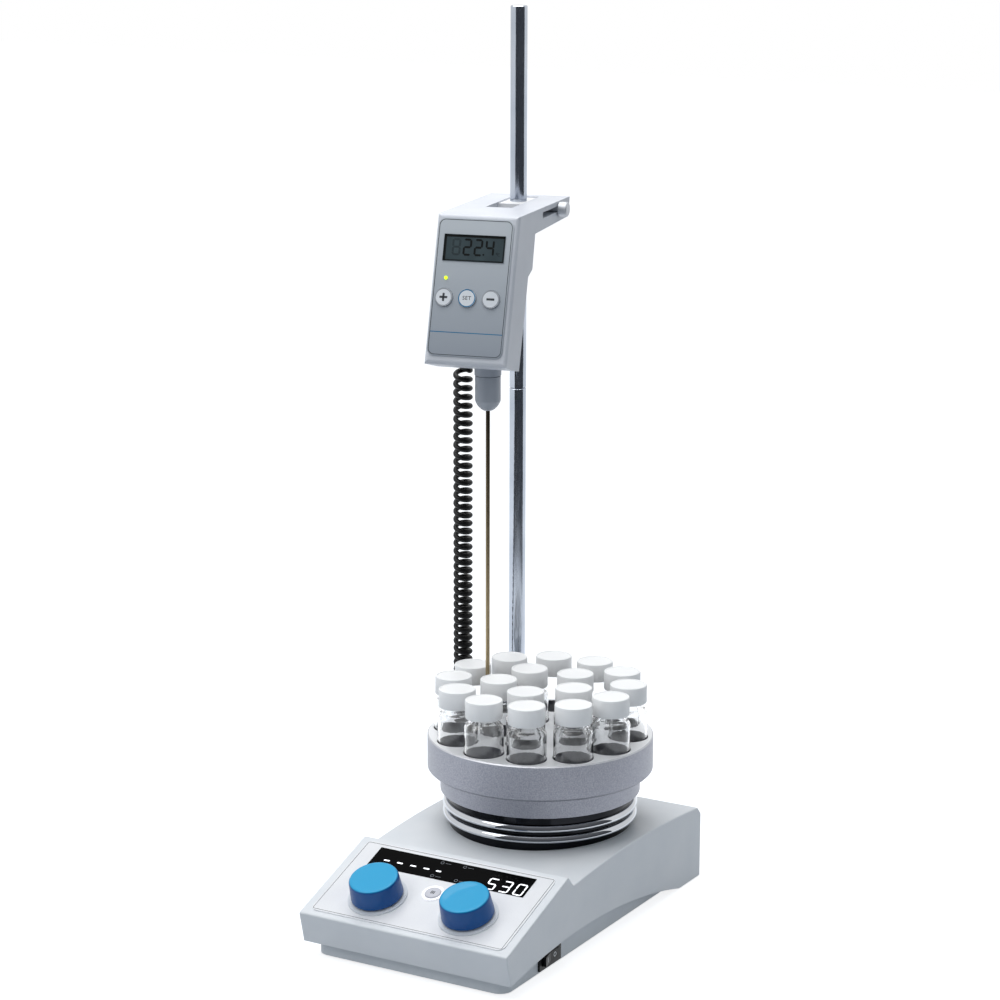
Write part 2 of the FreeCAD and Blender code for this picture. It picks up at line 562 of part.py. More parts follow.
def heating_plate():
    """Make the plate stack: seat, chrome rings with round noses, insulation, heater and hot plate."""
    y = val("plate_y")
    heater_top = "insulation_top + heater_thick"
    nose = {1: ("trim_nose", -1)}
    rings = (("plate_seat", "seat_bore", "seat_radius", "seat_low", "seat_top", None),
             ("lower_trim_ring", "seat_bore", "trim_edge", "seat_top", "trim_top", nose),
             ("upper_trim_ring", "plate_radius", "trim_edge", "insulation_top", "upper_trim_top", nose),
             ("heating_element", "heater_bore", "heater_radius", "insulation_top", heater_top, None))
    for name, bore, radius, low, top, arcs in rings:
        node(name, moved(turned(name + "_ring", ring_points(bore, radius, low, top), arcs), 0, y))
    node("plate_insulation", cylinder("insulation_disc", "insulation_radius", "insulation_top - trim_top",
                                      (0, y, val("trim_top"))))
    hot = turned("hot_plate_disc", [
        ("0", heater_top), ("heater_radius", heater_top), ("heater_radius", "insulation_top"),
        ("plate_radius", "insulation_top"),
        ("plate_radius", "plate_top - 1"), ("plate_radius - 1", "plate_top"), ("0", "plate_top")])
    node("hot_plate", moved(hot, 0, y))


def stirring_drive():
    """Make the motor on its bracket, and the shaft with the magnet carrier."""
    y = val("plate_y")
    floor = "plinth_low + plinth_wall"
    bracket = plate("bracket_sheet", ("0 - bracket_half_width", "bracket_half_width"),
                    ("0 - bracket_half_length", "bracket_half_length"), floor,
                    "motor_low - plinth_low - plinth_wall", "6")
    node("motor_bracket", moved(bracket, 0, y))
    motor = turned("motor_can", [
        ("0", "motor_low"), ("motor_radius", "motor_low"), ("motor_radius", "motor_top - 2"),
        ("motor_radius - 2", "motor_top"), ("bearing_radius", "motor_top"),
        ("bearing_radius", "motor_top - bearing_high"), ("axle_radius + 0.8", "motor_top - bearing_high"),
        ("axle_radius + 0.8", "axle_low - 1"), ("0", "axle_low - 1")])
    node("motor_body", moved(motor, 0, y))
    bearing = turned("bearing_bush", ring_points("axle_radius + axle_play", "bearing_radius",
                                                 "motor_top - bearing_high", "motor_top"))
    node("motor_bearing", moved(bearing, 0, y))
    node("motor_shaft", cylinder("axle", "axle_radius", "axle_top - axle_low", (0, y, val("axle_low"))))
    bar = plate("carrier_bar", ("0 - carrier_half_length", "carrier_half_length"),
                ("0 - carrier_half_width", "carrier_half_width"), "carrier_low", "carrier_thick", "3")
    hub = cylinder("carrier_hub", "7", "carrier_thick + 4", (0, 0, val("carrier_low") - 4))
    bore = cylinder("carrier_bore", "axle_radius", "20", (0, 0, val("carrier_low") - 8))
    node("magnet_carrier", moved(cut("carrier_bored", fuse("carrier_whole", bar, hub), bore), 0, y))
    high = val("carrier_low") + val("carrier_thick")
    magnets = []
    for side in (-1, 1):
        place = Vector(side * val("magnet_offset"), y, high)
        magnets.append(Part.makeCylinder(val("magnet_radius"), val("magnet_high"), place))
    solid_group("drive_magnets", magnets)


def main_circuit():
    """Make the power board on the plinth's posts with its tall components."""
    low = val("main_board_z")
    top = low + val("board_thick")
    board = box("power_board", ("main_board_width", "main_board_length", "board_thick"),
                (val("main_board_left"), val("main_board_front"), low))
    parts = [box("heat_sink", ("30", "12", "14"), (-50, -80, top)),
             box("relay", ("20", "16", "10"), (-8, -88, top)),
             cylinder("capacitor", "5", "11", (25, -80, top))]
    node("main_board", fuse("power_board_assembled", board, *parts))


def well_places():
    """Return the centres of the outer and inner wells about the block's axis."""
    places = []
    for ring in ("outer", "inner"):
        count = int(val(ring + "_count"))
        for index in range(count):
            angle = math.radians(val(ring + "_angle") - 360.0 * index / count)
            places.append(Vector(math.cos(angle), math.sin(angle), 0) * val(ring + "_ring"))
    return places


def vial_block():
    """Turn the stepped block, then bore its two rings of wells and the probe's hole."""
    body = turned("block_form", [
        ("0", "plate_top"), ("recess_radius", "plate_top"), ("recess_radius", "block_low"),
        ("block_step_radius", "block_low"), ("block_step_radius", "block_step_top"),
        ("block_radius - block_edge", "block_step_top"), ("block_radius", "block_step_top + block_edge"),
        ("block_radius", "block_top - 0.8"), ("block_radius - 0.8", "block_top"), ("0", "block_top")])
    top = val("block_top")
    for ring in ("outer", "inner"):
        angle = math.radians(val(ring + "_angle"))
        centre = Vector(math.cos(angle), math.sin(angle), 0) * val(ring + "_ring")
        pocket = round_pocket(body, ring + "_well", centre, "well_radius", "well_depth", top)
        pattern = body.newObject("PartDesign::PolarPattern", ring + "_wells")
        pattern.Originals = [pocket]
        pattern.Axis = (pocket.Profile[0], ["N_Axis"])
        pattern.Angle = 360
        pattern.setExpression("Occurrences", bound(ring + "_count"))
        body.Tip = pattern
        doc.recompute()
    probe = Vector(val("probe_x") - val("block_x"), val("probe_y") - val("block_y"), 0)
    round_pocket(body, "probe_well", probe, "probe_hole", "block_top - block_low", top)
    node("vial_block", moved(body, val("block_x"), val("block_y")))


def round_pocket(body, name, centre, radius, depth, top):
    """Bore a round hole down from a level of a body."""
    before = body.Shape.Volume
    sketch = sketch_on(body, name + "_circle", "XY_Plane", top)
    circle = sketch.addGeometry(Part.Circle(centre, Vector(0, 0, 1), val(radius)))
    sizing = sketch.addConstraint(Sketcher.Constraint("Radius", circle, val(radius)))
    sketch.setExpression("Constraints[%d]" % sizing, bound(radius))
    pocket = body.newObject("PartDesign::Pocket", name)
    pocket.Profile = sketch
    pocket.setExpression("Length", bound(depth))
    doc.recompute()
    if body.Shape.Volume >= before:
        raise ValueError("the pocket %s took nothing away" % name)
    return pocket


def vials():
    """Make the glass vials and their caps, one of each for every well."""
    low = "block_top - well_depth"
    throat = "vial_neck_radius - vial_neck_wall"
    inside = "vial_radius - vial_wall"
    glass = turned("vial_form", [
        ("0", low), ("vial_radius - 1", low), ("vial_radius", low + " + 1"),
        ("vial_radius", "vial_shoulder"), ("vial_neck_radius", "neck_low"), ("vial_neck_radius", "vial_rim"),
        (throat, "vial_rim"), (throat, "neck_low"), (inside, "vial_shoulder - 0.6"), (inside, low + " + 1.6"),
        ("0", low + " + 1.6")])
    cap = turned("cap_form", [
        ("vial_neck_radius", "cap_low"), ("cap_radius", "cap_low"), ("cap_radius", "cap_top - cap_round"),
        ("cap_radius - cap_round", "cap_top"), ("0", "cap_top"), ("0", "vial_rim"),
        ("vial_neck_radius", "vial_rim")])
    middle = Vector(val("block_x"), val("block_y"), 0)
    for name, master in (("vials", glass), ("vial_caps", cap)):
        copies = [master.Shape.translated(middle + place) for place in well_places()]
        solid_group(name, copies)


def support_rod():
    """Make the rod's two lengths and the socket that holds them in the base."""
    x, y = val("rod_x"), val("rod_y")
    floor = "plinth_low + plinth_wall"
    outer = "rod_radius + socket_wall"
    holder = turned("rod_holder", [
        ("0", floor), (outer, floor), (outer, "deck_back_z - 2.5"), ("rod_radius", "deck_back_z - 2.5"),
        ("rod_radius", "rod_low"), ("0", "rod_low")])
    node("rod_socket", moved(holder, x, y))
    for name, low, top in (("rod_lower", "rod_low", "rod_joint"), ("rod_upper", "rod_joint", "rod_top")):
        rod = turned(name + "_bar", [
            ("0", low), ("rod_radius - rod_chamfer", low), ("rod_radius", low + " + rod_chamfer"),
            ("rod_radius", top + " - rod_chamfer"), ("rod_radius - rod_chamfer", top), ("0", top)])
        node(name, moved(rod, x, y))


def face_box(name, size, at):
    """Add a box in the frame of the controller's face."""
    return box(name, size, at, frame=FACE)


def case_outline(name):
    """Pad the side profile of the controller's case and arm."""
    return prism(name, "YZ_Plane", [
        ("panel_top_y", "arm_top"), ("panel_low_y", "panel_low_z"), ("case_back_low_y", "case_back_low_z"),
        ("step_low_y", "step_low_z"), ("step_high_y", "step_high_z"), ("arm_root_y", "arm_root_z"),
        ("arm_back_low_y", "arm_low"), ("arm_back_y", "arm_top")],
        "case_half_width + case_half_width", midplane=True)


def controller_case():
    """Make the controller's case with its slotted arm, and the narrower cover behind it."""
    body = case_outline("case_form")
    low, top = val("panel_low_z"), val("arm_top")

    def on_front(edge):
        """Tell whether an edge bounds the tilted front face."""
        ends = [vertex.Point for vertex in edge.Vertexes]
        spots = [(val("panel_top_y"), top), (val("panel_low_y"), low)]
        return all(any(abs(end.y - y) < 0.05 and abs(end.z - z) < 0.05 for y, z in spots) for end in ends)

    round_edges(body, "case_front_edges", "case_edge", on_front)
    slot = box("arm_slot", ("slot_half_width + slot_half_width", "slot_back_y - slot_front_y", "40"),
               (-val("slot_half_width"), val("slot_front_y"), 460))
    side_slot = box("arm_side_slot", ("30", "side_slot_back_y - side_slot_front_y", "side_slot_high"),
                    (0, val("side_slot_front_y"), val("screw_z") - val("side_slot_high") / 2))
    space = face_box("case_space", ("space_half_width + space_half_width", "space_high - space_low",
                                    "space_deep - case_wall"),
                     (-val("space_half_width"), val("space_low"), -val("space_deep")))
    back = face_box("case_back_opening", ("back_half_width + back_half_width", "back_high - back_low", "20"),
                    (-val("back_half_width"), val("back_low"), -40))
    window = face_box("lcd_opening", ("lcd_right - lcd_left", "lcd_high - lcd_low", "8"),
                      (val("lcd_left"), val("lcd_low"), -6))
    lamp = cylinder("lamp_opening", "lamp_radius", "8", (val("lamp_x"), val("lamp_up"), -6), frame=FACE)
    keys = [cylinder("key_opening", "key_radius + key_play", "8", (val(key), val("key_up"), -6), frame=FACE)
            for key in ("key_left", "key_middle", "key_right")]
    hollow = cut("case_finished", body, slot, side_slot, space, back, window, lamp, *keys)
    node("controller_case", hollow, CONTROLLER)
    rear_cover()
    width = "slot_half_width + slot_half_width"
    block = box("clamp_solid", (width, "slot_back_y - clamp_front_y", "clamp_top - clamp_low"),
                (-val("slot_half_width"), val("clamp_front_y"), val("clamp_low")))
    bore = cylinder("clamp_bore", "rod_radius + rod_play", "40", (0, 0, 460))
    cross = cylinder("clamp_cross_bore", "clamp_screw_radius + axle_play", "20", (0, 0, val("screw_z")),
                     Rotation(Vector(0, 1, 0), 90))
    node("clamp_block", cut("clamp_bored", block, bore, cross), CONTROLLER)
    screw = turned("clamp_screw_form", [
        ("0", "clamp_screw_tip"), ("clamp_screw_radius", "clamp_screw_tip"),
        ("clamp_screw_radius", "clamp_knob_start"), ("clamp_knob_radius - 0.6", "clamp_knob_start"),
        ("clamp_knob_radius", "clamp_knob_start + 0.6"),
        ("clamp_knob_radius", "clamp_knob_end - 0.6"), ("clamp_knob_radius - 0.6", "clamp_knob_end"),
        ("0", "clamp_knob_end")])
    screw.Placement = Placement(Vector(0, 0, val("screw_z")), Rotation(Vector(0, 1, 0), 90))
    node("clamp_screw", screw, CONTROLLER)


def controller_place(name):
    """Return a place of the world frame in the controller's own frame."""
    world = Vector(val(name + "_x"), val(name + "_y"), 0)
    return CONTROLLER.inverse().multVec(world)


def rear_cover():
    """Make the hollow cover behind the case, which carries the probe and the cord."""
    low = val("case_back_low_z")
    solid = plate("cover_block", ("0 - rear_half_width", "rear_half_width"),
                  ("case_back_low_y", "rear_back_y"), "case_back_low_z", "rear_top - case_back_low_z", None)
    inner = plate("cover_space", ("rear_wall - rear_half_width", "rear_half_width - rear_wall"),
                  ("0 - 95", "rear_back_y - rear_wall"), "case_back_low_z + rear_wall",
                  "rear_top - case_back_low_z - rear_wall - rear_wall", None)
    for body, radius, back in ((solid, "rear_round", val("rear_back_y")),
                               (inner, "rear_round - rear_wall", val("rear_back_y - rear_wall"))):
        round_edges(body, body.Name + "_round", radius,
                    lambda edge: is_upright(edge) and abs(edge.CenterOfMass.y - back) < 0.05)
    probe = controller_place("probe")
    tools = [inner, case_outline("case_envelope"),
             cylinder("cover_probe_hole", "probe_radius", "12", (probe.x, probe.y, low - 4))]
    screws = []
    for z in (low + 14, val("rear_top") - 22):
        turn = Rotation(Vector(1, 0, 0), 90)
        tools.append(cylinder("cover_screw_hole", "1.4", "12", (0, val("rear_back_y") + 1, z), turn))
        head = Part.makeCylinder(3, 1.6, Vector(0, val("rear_back_y"), z), Vector(0, 1, 0))
        shank = Part.makeCylinder(1.4, 7, Vector(0, val("rear_back_y"), z), Vector(0, -1, 0))
        screws.append(head.fuse(shank).removeSplitter())
    node("controller_rear_cover", cut("cover_finished", solid, *tools), CONTROLLER)
    group = solid_group("cover_screws", screws)
    group.Placement = CONTROLLER


def controller_face():
    """Make the face sheet, display, keys, lamp and circuit board of the controller."""
    frame = CONTROLLER.multiply(FACE)
    face = plate("face_sheet", ("sheet_left", "sheet_right"), ("sheet_low", "sheet_high"),
                 "0", "sheet_thick", "sheet_corner")
    tools = [box("face_window", ("lcd_right - lcd_left", "lcd_high - lcd_low", "4"),
                 (val("lcd_left"), val("lcd_low"), -1)),
             cylinder("face_lamp", "lamp_radius", "4", (val("lamp_x"), val("lamp_up"), -1))]
    deep = -val("circuit_depth")
    parts = [box("circuit_sheet", ("circuit_half_width + circuit_half_width", "circuit_high - circuit_low",
                                   "circuit_thick"),
                 (-val("circuit_half_width"), val("circuit_low"), deep - val("circuit_thick"))),
             box("lcd_cell",
                 ("lcd_right - lcd_left - 2", "lcd_high - lcd_low - 2", "circuit_depth - case_wall"),
                 (val("lcd_left") + 1, val("lcd_low") + 1, deep))]
    keys = {"plus_button": "key_left", "set_button": "key_middle", "minus_button": "key_right"}
    for name, place in keys.items():
        x, up = val(place), val("key_up")
        tools.append(cylinder(name + "_hole", "key_radius + 0.4", "4", (x, up, -1)))
        parts.append(box(name + "_switch", ("tact_side", "tact_side", "circuit_depth - 6"),
                         (x - val("tact_side") / 2, up - val("tact_side") / 2, deep)))
        key = turned(name + "_form", [
            ("0", "0 - 4.6"), ("key_flange", "0 - 4.6"), ("key_flange", "0 - 3.1"),
            ("key_radius", "0 - 3.1"), ("key_radius", "key_top - 0.5"), ("key_radius - 0.5", "key_top"),
            ("0", "key_top")])
        node(name, moved(key, x, up), frame)
    node("controller_face_sheet", cut("face_finished", face, *tools), frame)
    node("controller_board", fuse("circuit_assembled", *parts), frame)
    depth = "case_wall + sheet_thick + lcd_proud"
    glass = box("lcd_glass", ("lcd_right - lcd_left", "lcd_high - lcd_low", depth),
                (val("lcd_left"), val("lcd_low"), -val("case_wall")))
    node("lcd_window", glass, frame)
    node("status_lamp", cylinder("lamp_form", "lamp_radius", "circuit_depth + sheet_thick + 0.6",
                                 (val("lamp_x"), val("lamp_up"), deep)), frame)


def temperature_probe():
    """Make the probe with its collar and domed nut, and the gland of the curly cord."""
    x, y = val("probe_x"), val("probe_y")
    bar = cylinder("probe_bar", "probe_radius", "probe_end - probe_tip", (x, y, val("probe_tip")))
    node("probe_rod", bar)
    collar = turned("collar_form",
                    ring_points("probe_radius", "collar_radius", "collar_low", "case_back_low_z"))
    node("probe_collar", moved(collar, x, y))
    nut = turned("nut_form", [
        ("probe_radius", "nut_low"), ("3.4", "nut_low"), ("collar_radius - 0.4", "nut_straight + 3"),
        ("collar_radius - 0.4", "collar_low - 0.8"), ("collar_radius - 1.2", "collar_low - 0.8"),
        ("collar_radius - 1.2", "collar_low"), ("probe_radius", "collar_low")], arcs={1: ("12", -1)})
    node("probe_nut", moved(nut, x, y))
    start = coil_frame()["gland"]
    node("cord_gland", cylinder("gland_form", "gland_radius", "case_back_low_z - gland_low",
                                (start.x, start.y, val("gland_low"))))


def coil_frame():
    """Return the axis, the two cross directions and the ends of the curly cord."""
    top = Vector(val("coil_start_x"), val("coil_start_y"), val("coil_start_z"))
    end = Vector(val("coil_end_x"), val("coil_end_y"), val("coil_end_z"))
    axis = (end - top).normalize()
    first = CONTROLLER.Rotation.multVec(Vector(0, -1, 0))
    first = (first - axis * first.dot(axis)).normalize()
    gland = top + first * val("coil_radius")
    return {"top": top, "end": end, "axis": axis, "first": first, "second": first.cross(axis),
            "gland": gland}


def tangent_arc(start, heading, end):
    """Return the arc that leaves a point along a heading and ends at another point."""
    chord = end - start
    along = chord * (1 / chord.Length)
    side = heading - along * heading.dot(along)
    if side.Length < 1e-7:
        return Part.LineSegment(start, end)
    lift = math.tan(math.acos(max(-1, min(1, heading.dot(along)))) / 2) * chord.Length / 2
    return Part.Arc(start, start + chord * 0.5 + side.normalize() * lift, end)


def biarc(start, heading, end, leaving):
    """Join two points with two arcs that keep the headings at both."""
    gap = end - start
    both = heading + leaving
    spread = 2 * (1 - heading.dot(leaving))
    slope = gap.dot(both)
    reach = (math.sqrt(slope ** 2 + spread * gap.dot(gap)) - slope) / spread
    joint = (start + end + (heading - leaving) * reach) * 0.5
    return [tangent_arc(start, heading, joint), tangent_arc(end, leaving * -1, joint)]


def tube(edges, radius, start, heading):
    """Sweep a round section along edges that follow one another."""
    path = Part.Wire([edge.toShape() for edge in edges])
    section = Part.Wire([Part.Circle(start, heading, radius).toShape()])
    return path, path.makePipeShell([section], True, False)


def curly_cord():
    """Make the curly cord: a straight end at the gland, the curls, and a straight end below."""
    frame = coil_frame()
    radius, turns, wire = val("coil_radius"), int(val("coil_turns")), val("wire_radius")
    span = (frame["end"] - frame["top"]).Length
    steps = turns * 2
    crowding = val("coil_crowding")

    def on_coil(step):
        """Return the point and heading of the wire after some half turns, which crowd towards the end."""
        angle = math.pi * step
        share = step / steps
        fall = span * share * (1 + crowding * (1 - share))
        speed = span * (1 + crowding * (1 - 2 * share)) / (math.pi * steps)
        spoke = frame["first"] * math.cos(angle) + frame["second"] * math.sin(angle)
        round_way = frame["second"] * math.cos(angle) - frame["first"] * math.sin(angle)
        point = frame["top"] + frame["axis"] * fall + spoke * radius
        return point, (round_way * radius + frame["axis"] * speed).normalize()

    down = Vector(0, 0, -1)
    gland = Vector(frame["gland"].x, frame["gland"].y, val("gland_low"))
    lead = gland + down * val("gland_lead")
    point, heading = on_coil(0.5)
    edges = [Part.LineSegment(gland, lead)] + biarc(lead, down, point, heading)
    step = 0.5
    while step < steps - 0.6:
        after, turned_to = on_coil(step + 0.5)
        edges += biarc(point, heading, after, turned_to)
        point, heading = after, turned_to
        step += 0.5
    exit_point = frame["end"] + frame["axis"] * val("coil_exit") + frame["first"] * radius
    finish = exit_point + frame["axis"] * (2 * wire)
    edges += biarc(point, heading, exit_point, frame["axis"])
    edges.append(Part.LineSegment(exit_point, finish))
    path, cord = tube(edges, wire, gland, down)
    report_gap(path, wire)
    made = doc.addObject("Part::Feature", "curly_cord_tube")
    made.Shape = cord
    node("curly_cord", made)
    print("curly cord: %.1f mm of wire, volume ratio %.4f"
          % (path.Length, cord.Volume / (math.pi * wire ** 2 * path.Length)))
    return finish, frame["axis"]


def report_gap(path, wire):
    """Print the least gap between parts of a wire that are not next to each other."""
    points = path.discretize(Number=int(path.Length / 1.2))
    spacing = path.Length / (len(points) - 1)
    near = int(4 * math.pi * wire / spacing)
    least = min(points[i].distanceToPoint(points[j])
                for i in range(len(points)) for j in range(i + near, min(i + near + 60, len(points))))
    print("curly cord: least gap to itself %.2f mm" % (least - 2 * wire))


def cord_tail(start, heading):
    """Make the free stretch from the curls down behind the base to the plug."""
    wire = val("wire_radius")
    plug_end = Vector(val("socket_x"), val("rear_y") + 2 + val("plug_length"), val("socket_z"))
    route = [start, start + heading * val("tail_lead"), *(Vector(*place) for place in TAIL_ROUTE),
             plug_end + Vector(0, 20, 0), plug_end]
    edges = []
    here = route[0]
    for before, corner, after in zip(route, route[1:], route[2:]):
        arriving = (corner - before).normalize()
        leaving = (after - corner).normalize()
        shorter = min((corner - before).Length, (after - corner).Length)
        half_turn = math.acos(arriving.dot(leaving)) / 2
        reach = 0.45 * shorter
        print("cord tail: radius %.1f mm" % (reach / math.tan(half_turn)))
        first, last = corner - arriving * reach, corner + leaving * reach
        edges.append(Part.LineSegment(here, first))
        edges.append(tangent_arc(first, arriving, last))
        here = last
    edges.append(Part.LineSegment(here, route[-1]))
    path, cord = tube(edges, wire, start, heading)
    made = doc.addObject("Part::Feature", "cord_tail_tube")
    made.Shape = cord
    node("cord_tail", made)
    print("cord tail: %.1f mm, volume ratio %.4f"
          % (path.Length, cord.Volume / (math.pi * wire ** 2 * path.Length)))


def check_and_write():
    """Stop at any failed object, then write every sub-part."""
    doc.recompute()
    for made in doc.Objects:
        if "Invalid" in made.State or "Error" in made.State:
            raise ValueError("%s (%s) failed: %s" % (made.Name, made.Label, made.State))
    os.makedirs("parts", exist_ok=True)
    for name, made in nodes:
        if made.Shape.isNull() or not made.Shape.isValid():
            raise ValueError("%s has no valid shape" % name)
    for name, made in nodes:
        made.Shape.exportStep("parts/%s.step" % name)
    print("%d sub-parts written" % len(nodes))


base_casing()
control_panel()
power_switch()
rear_connectors()
heating_plate()
stirring_drive()
main_circuit()
vial_block()
vials()
support_rod()
controller_case()
controller_face()
temperature_probe()
cord_tail(*curly_cord())
check_and_write()
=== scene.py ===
"""Dress the heated stirrer: finishes, printed marks, turned pieces, vials and the curly cord."""

import logging
import math
from contextlib import contextmanager
from dataclasses import dataclass, field
from enum import Enum
from typing import Iterator, Optional, Sequence

import bpy
from mathutils import Matrix, Vector


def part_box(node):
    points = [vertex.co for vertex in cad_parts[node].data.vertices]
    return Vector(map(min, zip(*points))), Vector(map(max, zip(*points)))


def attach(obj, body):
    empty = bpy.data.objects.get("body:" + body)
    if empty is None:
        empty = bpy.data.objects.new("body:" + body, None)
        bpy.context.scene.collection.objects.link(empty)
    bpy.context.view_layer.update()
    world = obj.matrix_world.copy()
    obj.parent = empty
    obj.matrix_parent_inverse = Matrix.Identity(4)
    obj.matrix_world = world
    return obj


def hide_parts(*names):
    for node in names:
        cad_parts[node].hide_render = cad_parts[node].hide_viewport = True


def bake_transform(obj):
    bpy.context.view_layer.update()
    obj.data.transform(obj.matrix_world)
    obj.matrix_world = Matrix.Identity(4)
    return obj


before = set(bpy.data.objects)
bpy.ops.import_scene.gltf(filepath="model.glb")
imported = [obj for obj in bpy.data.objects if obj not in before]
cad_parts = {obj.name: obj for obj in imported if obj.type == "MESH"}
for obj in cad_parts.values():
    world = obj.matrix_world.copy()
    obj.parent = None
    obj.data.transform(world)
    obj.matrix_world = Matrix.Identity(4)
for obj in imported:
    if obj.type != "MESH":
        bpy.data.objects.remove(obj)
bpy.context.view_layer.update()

LOG = logging.getLogger("stirrer")
MM = 0.001
WELD = 2e-6
SMOOTH_ANGLE = math.radians(38)
WORLD = Matrix.Identity(4)
FULL_TURN = 2 * math.pi
PRINT_THICK = 0.04
MARK_THICK = 0.05
ROUND_STEPS = 8
LETTER_SPACING = 1.12
PATCH_LIMITS = (0.32, 0.68)
NOISE_SPAN = (0.3, 0.7)
# Facing range over which a finish's painted lighter top is mixed in.
LIT_TOP_SPAN = (0.55, 0.95)
GRAIN_DETAIL = 3
CAP_RIBS = 72
WAVE_PACE = 20
WALL_SLOPE = 0.5
Pair = tuple[float, float]
Triple = tuple[float, float, float]
Colour = Triple
Profile = Sequence[Pair]
Piece = bpy.types.Object
Node = bpy.types.Node
Socket = bpy.types.NodeSocket
Tree = bpy.types.NodeTree


def tone(*levels: int) -> Colour:
    """Return a screen colour as linear light.

    Args:
        levels: Red, green and blue on the screen, from 0 to 255.

    Returns:
        The three levels in linear light.
    """
    parts = [level / 255 for level in levels]
    red, green, blue = (part / 12.92 if part <= 0.04045 else ((part + 0.055) / 1.055) ** 2.4
                        for part in parts)
    return red, green, blue


def at(place: Matrix, across: float, up: float, out: float) -> Matrix:
    """Return a place on a face, or in the shared frame, from its coordinates in millimetres.

    Args:
        place: The face's frame, or WORLD.
        across: Distance to the right.
        up: Distance up the face.
        out: Distance out of the face.

    Returns:
        The place in the shared frame.
    """
    return place @ Matrix.Translation(Vector((across, up, out)) * MM)


ROD_SPOT = (-61.0, 119.4)
PANEL_SLOPE = math.radians(19.4)
CONTROLLER_TURN = math.radians(12.2)
FACE_SLOPE = math.atan2(98.7, 30.6)
PANEL = at(WORLD, 0, -139.4, 33) @ Matrix.Rotation(PANEL_SLOPE, 4, "X")
CONTROLLER = at(WORLD, *ROD_SPOT, 0) @ Matrix.Rotation(CONTROLLER_TURN, 4, "Z")
FACE = at(CONTROLLER, 0, -119.6, 388.3) @ Matrix.Rotation(FACE_SLOPE, 4, "X")


def add_node(tree: Tree, kind: str, inputs: dict, **settings: str) -> Node:
    """Add a node, with each input set to a constant or linked to another node's output.

    Args:
        tree: The node tree to add to.
        kind: The node's type, without its prefix.
        inputs: Constants or output sockets, by the input's name or number.
        settings: The node's own options, such as its operation.

    Returns:
        The node.
    """
    node = tree.nodes.new("ShaderNode" + kind)
    for option, choice in settings.items():
        setattr(node, option, choice)
    for key, value in inputs.items():
        if isinstance(value, Socket):
            tree.links.new(value, node.inputs[key])
        else:
            node.inputs[key].default_value = value
    return node


class Grain(Enum):
    """The fine structure of a surface, as the stretch of its noise. Last digits keep equal ones apart."""

    MOULDED = (1.0, 1.0, 1.0)
    BLASTED = (1.0, 1.0, 1.001)
    DRAWN = (1.0, 1.0, 0.02)
    # This and the last member also turn the colour into a ramp along the height: painted reflection here,
    # painted shade on the face sheet.
    RIBBED = (1.0, 1.0, 1.002)
    PAINTED_REFLECTION = (1.0, 1.0, 0.05)
    PAINTED_SHADE_LOW = (1.0, 1.0, 1.003)


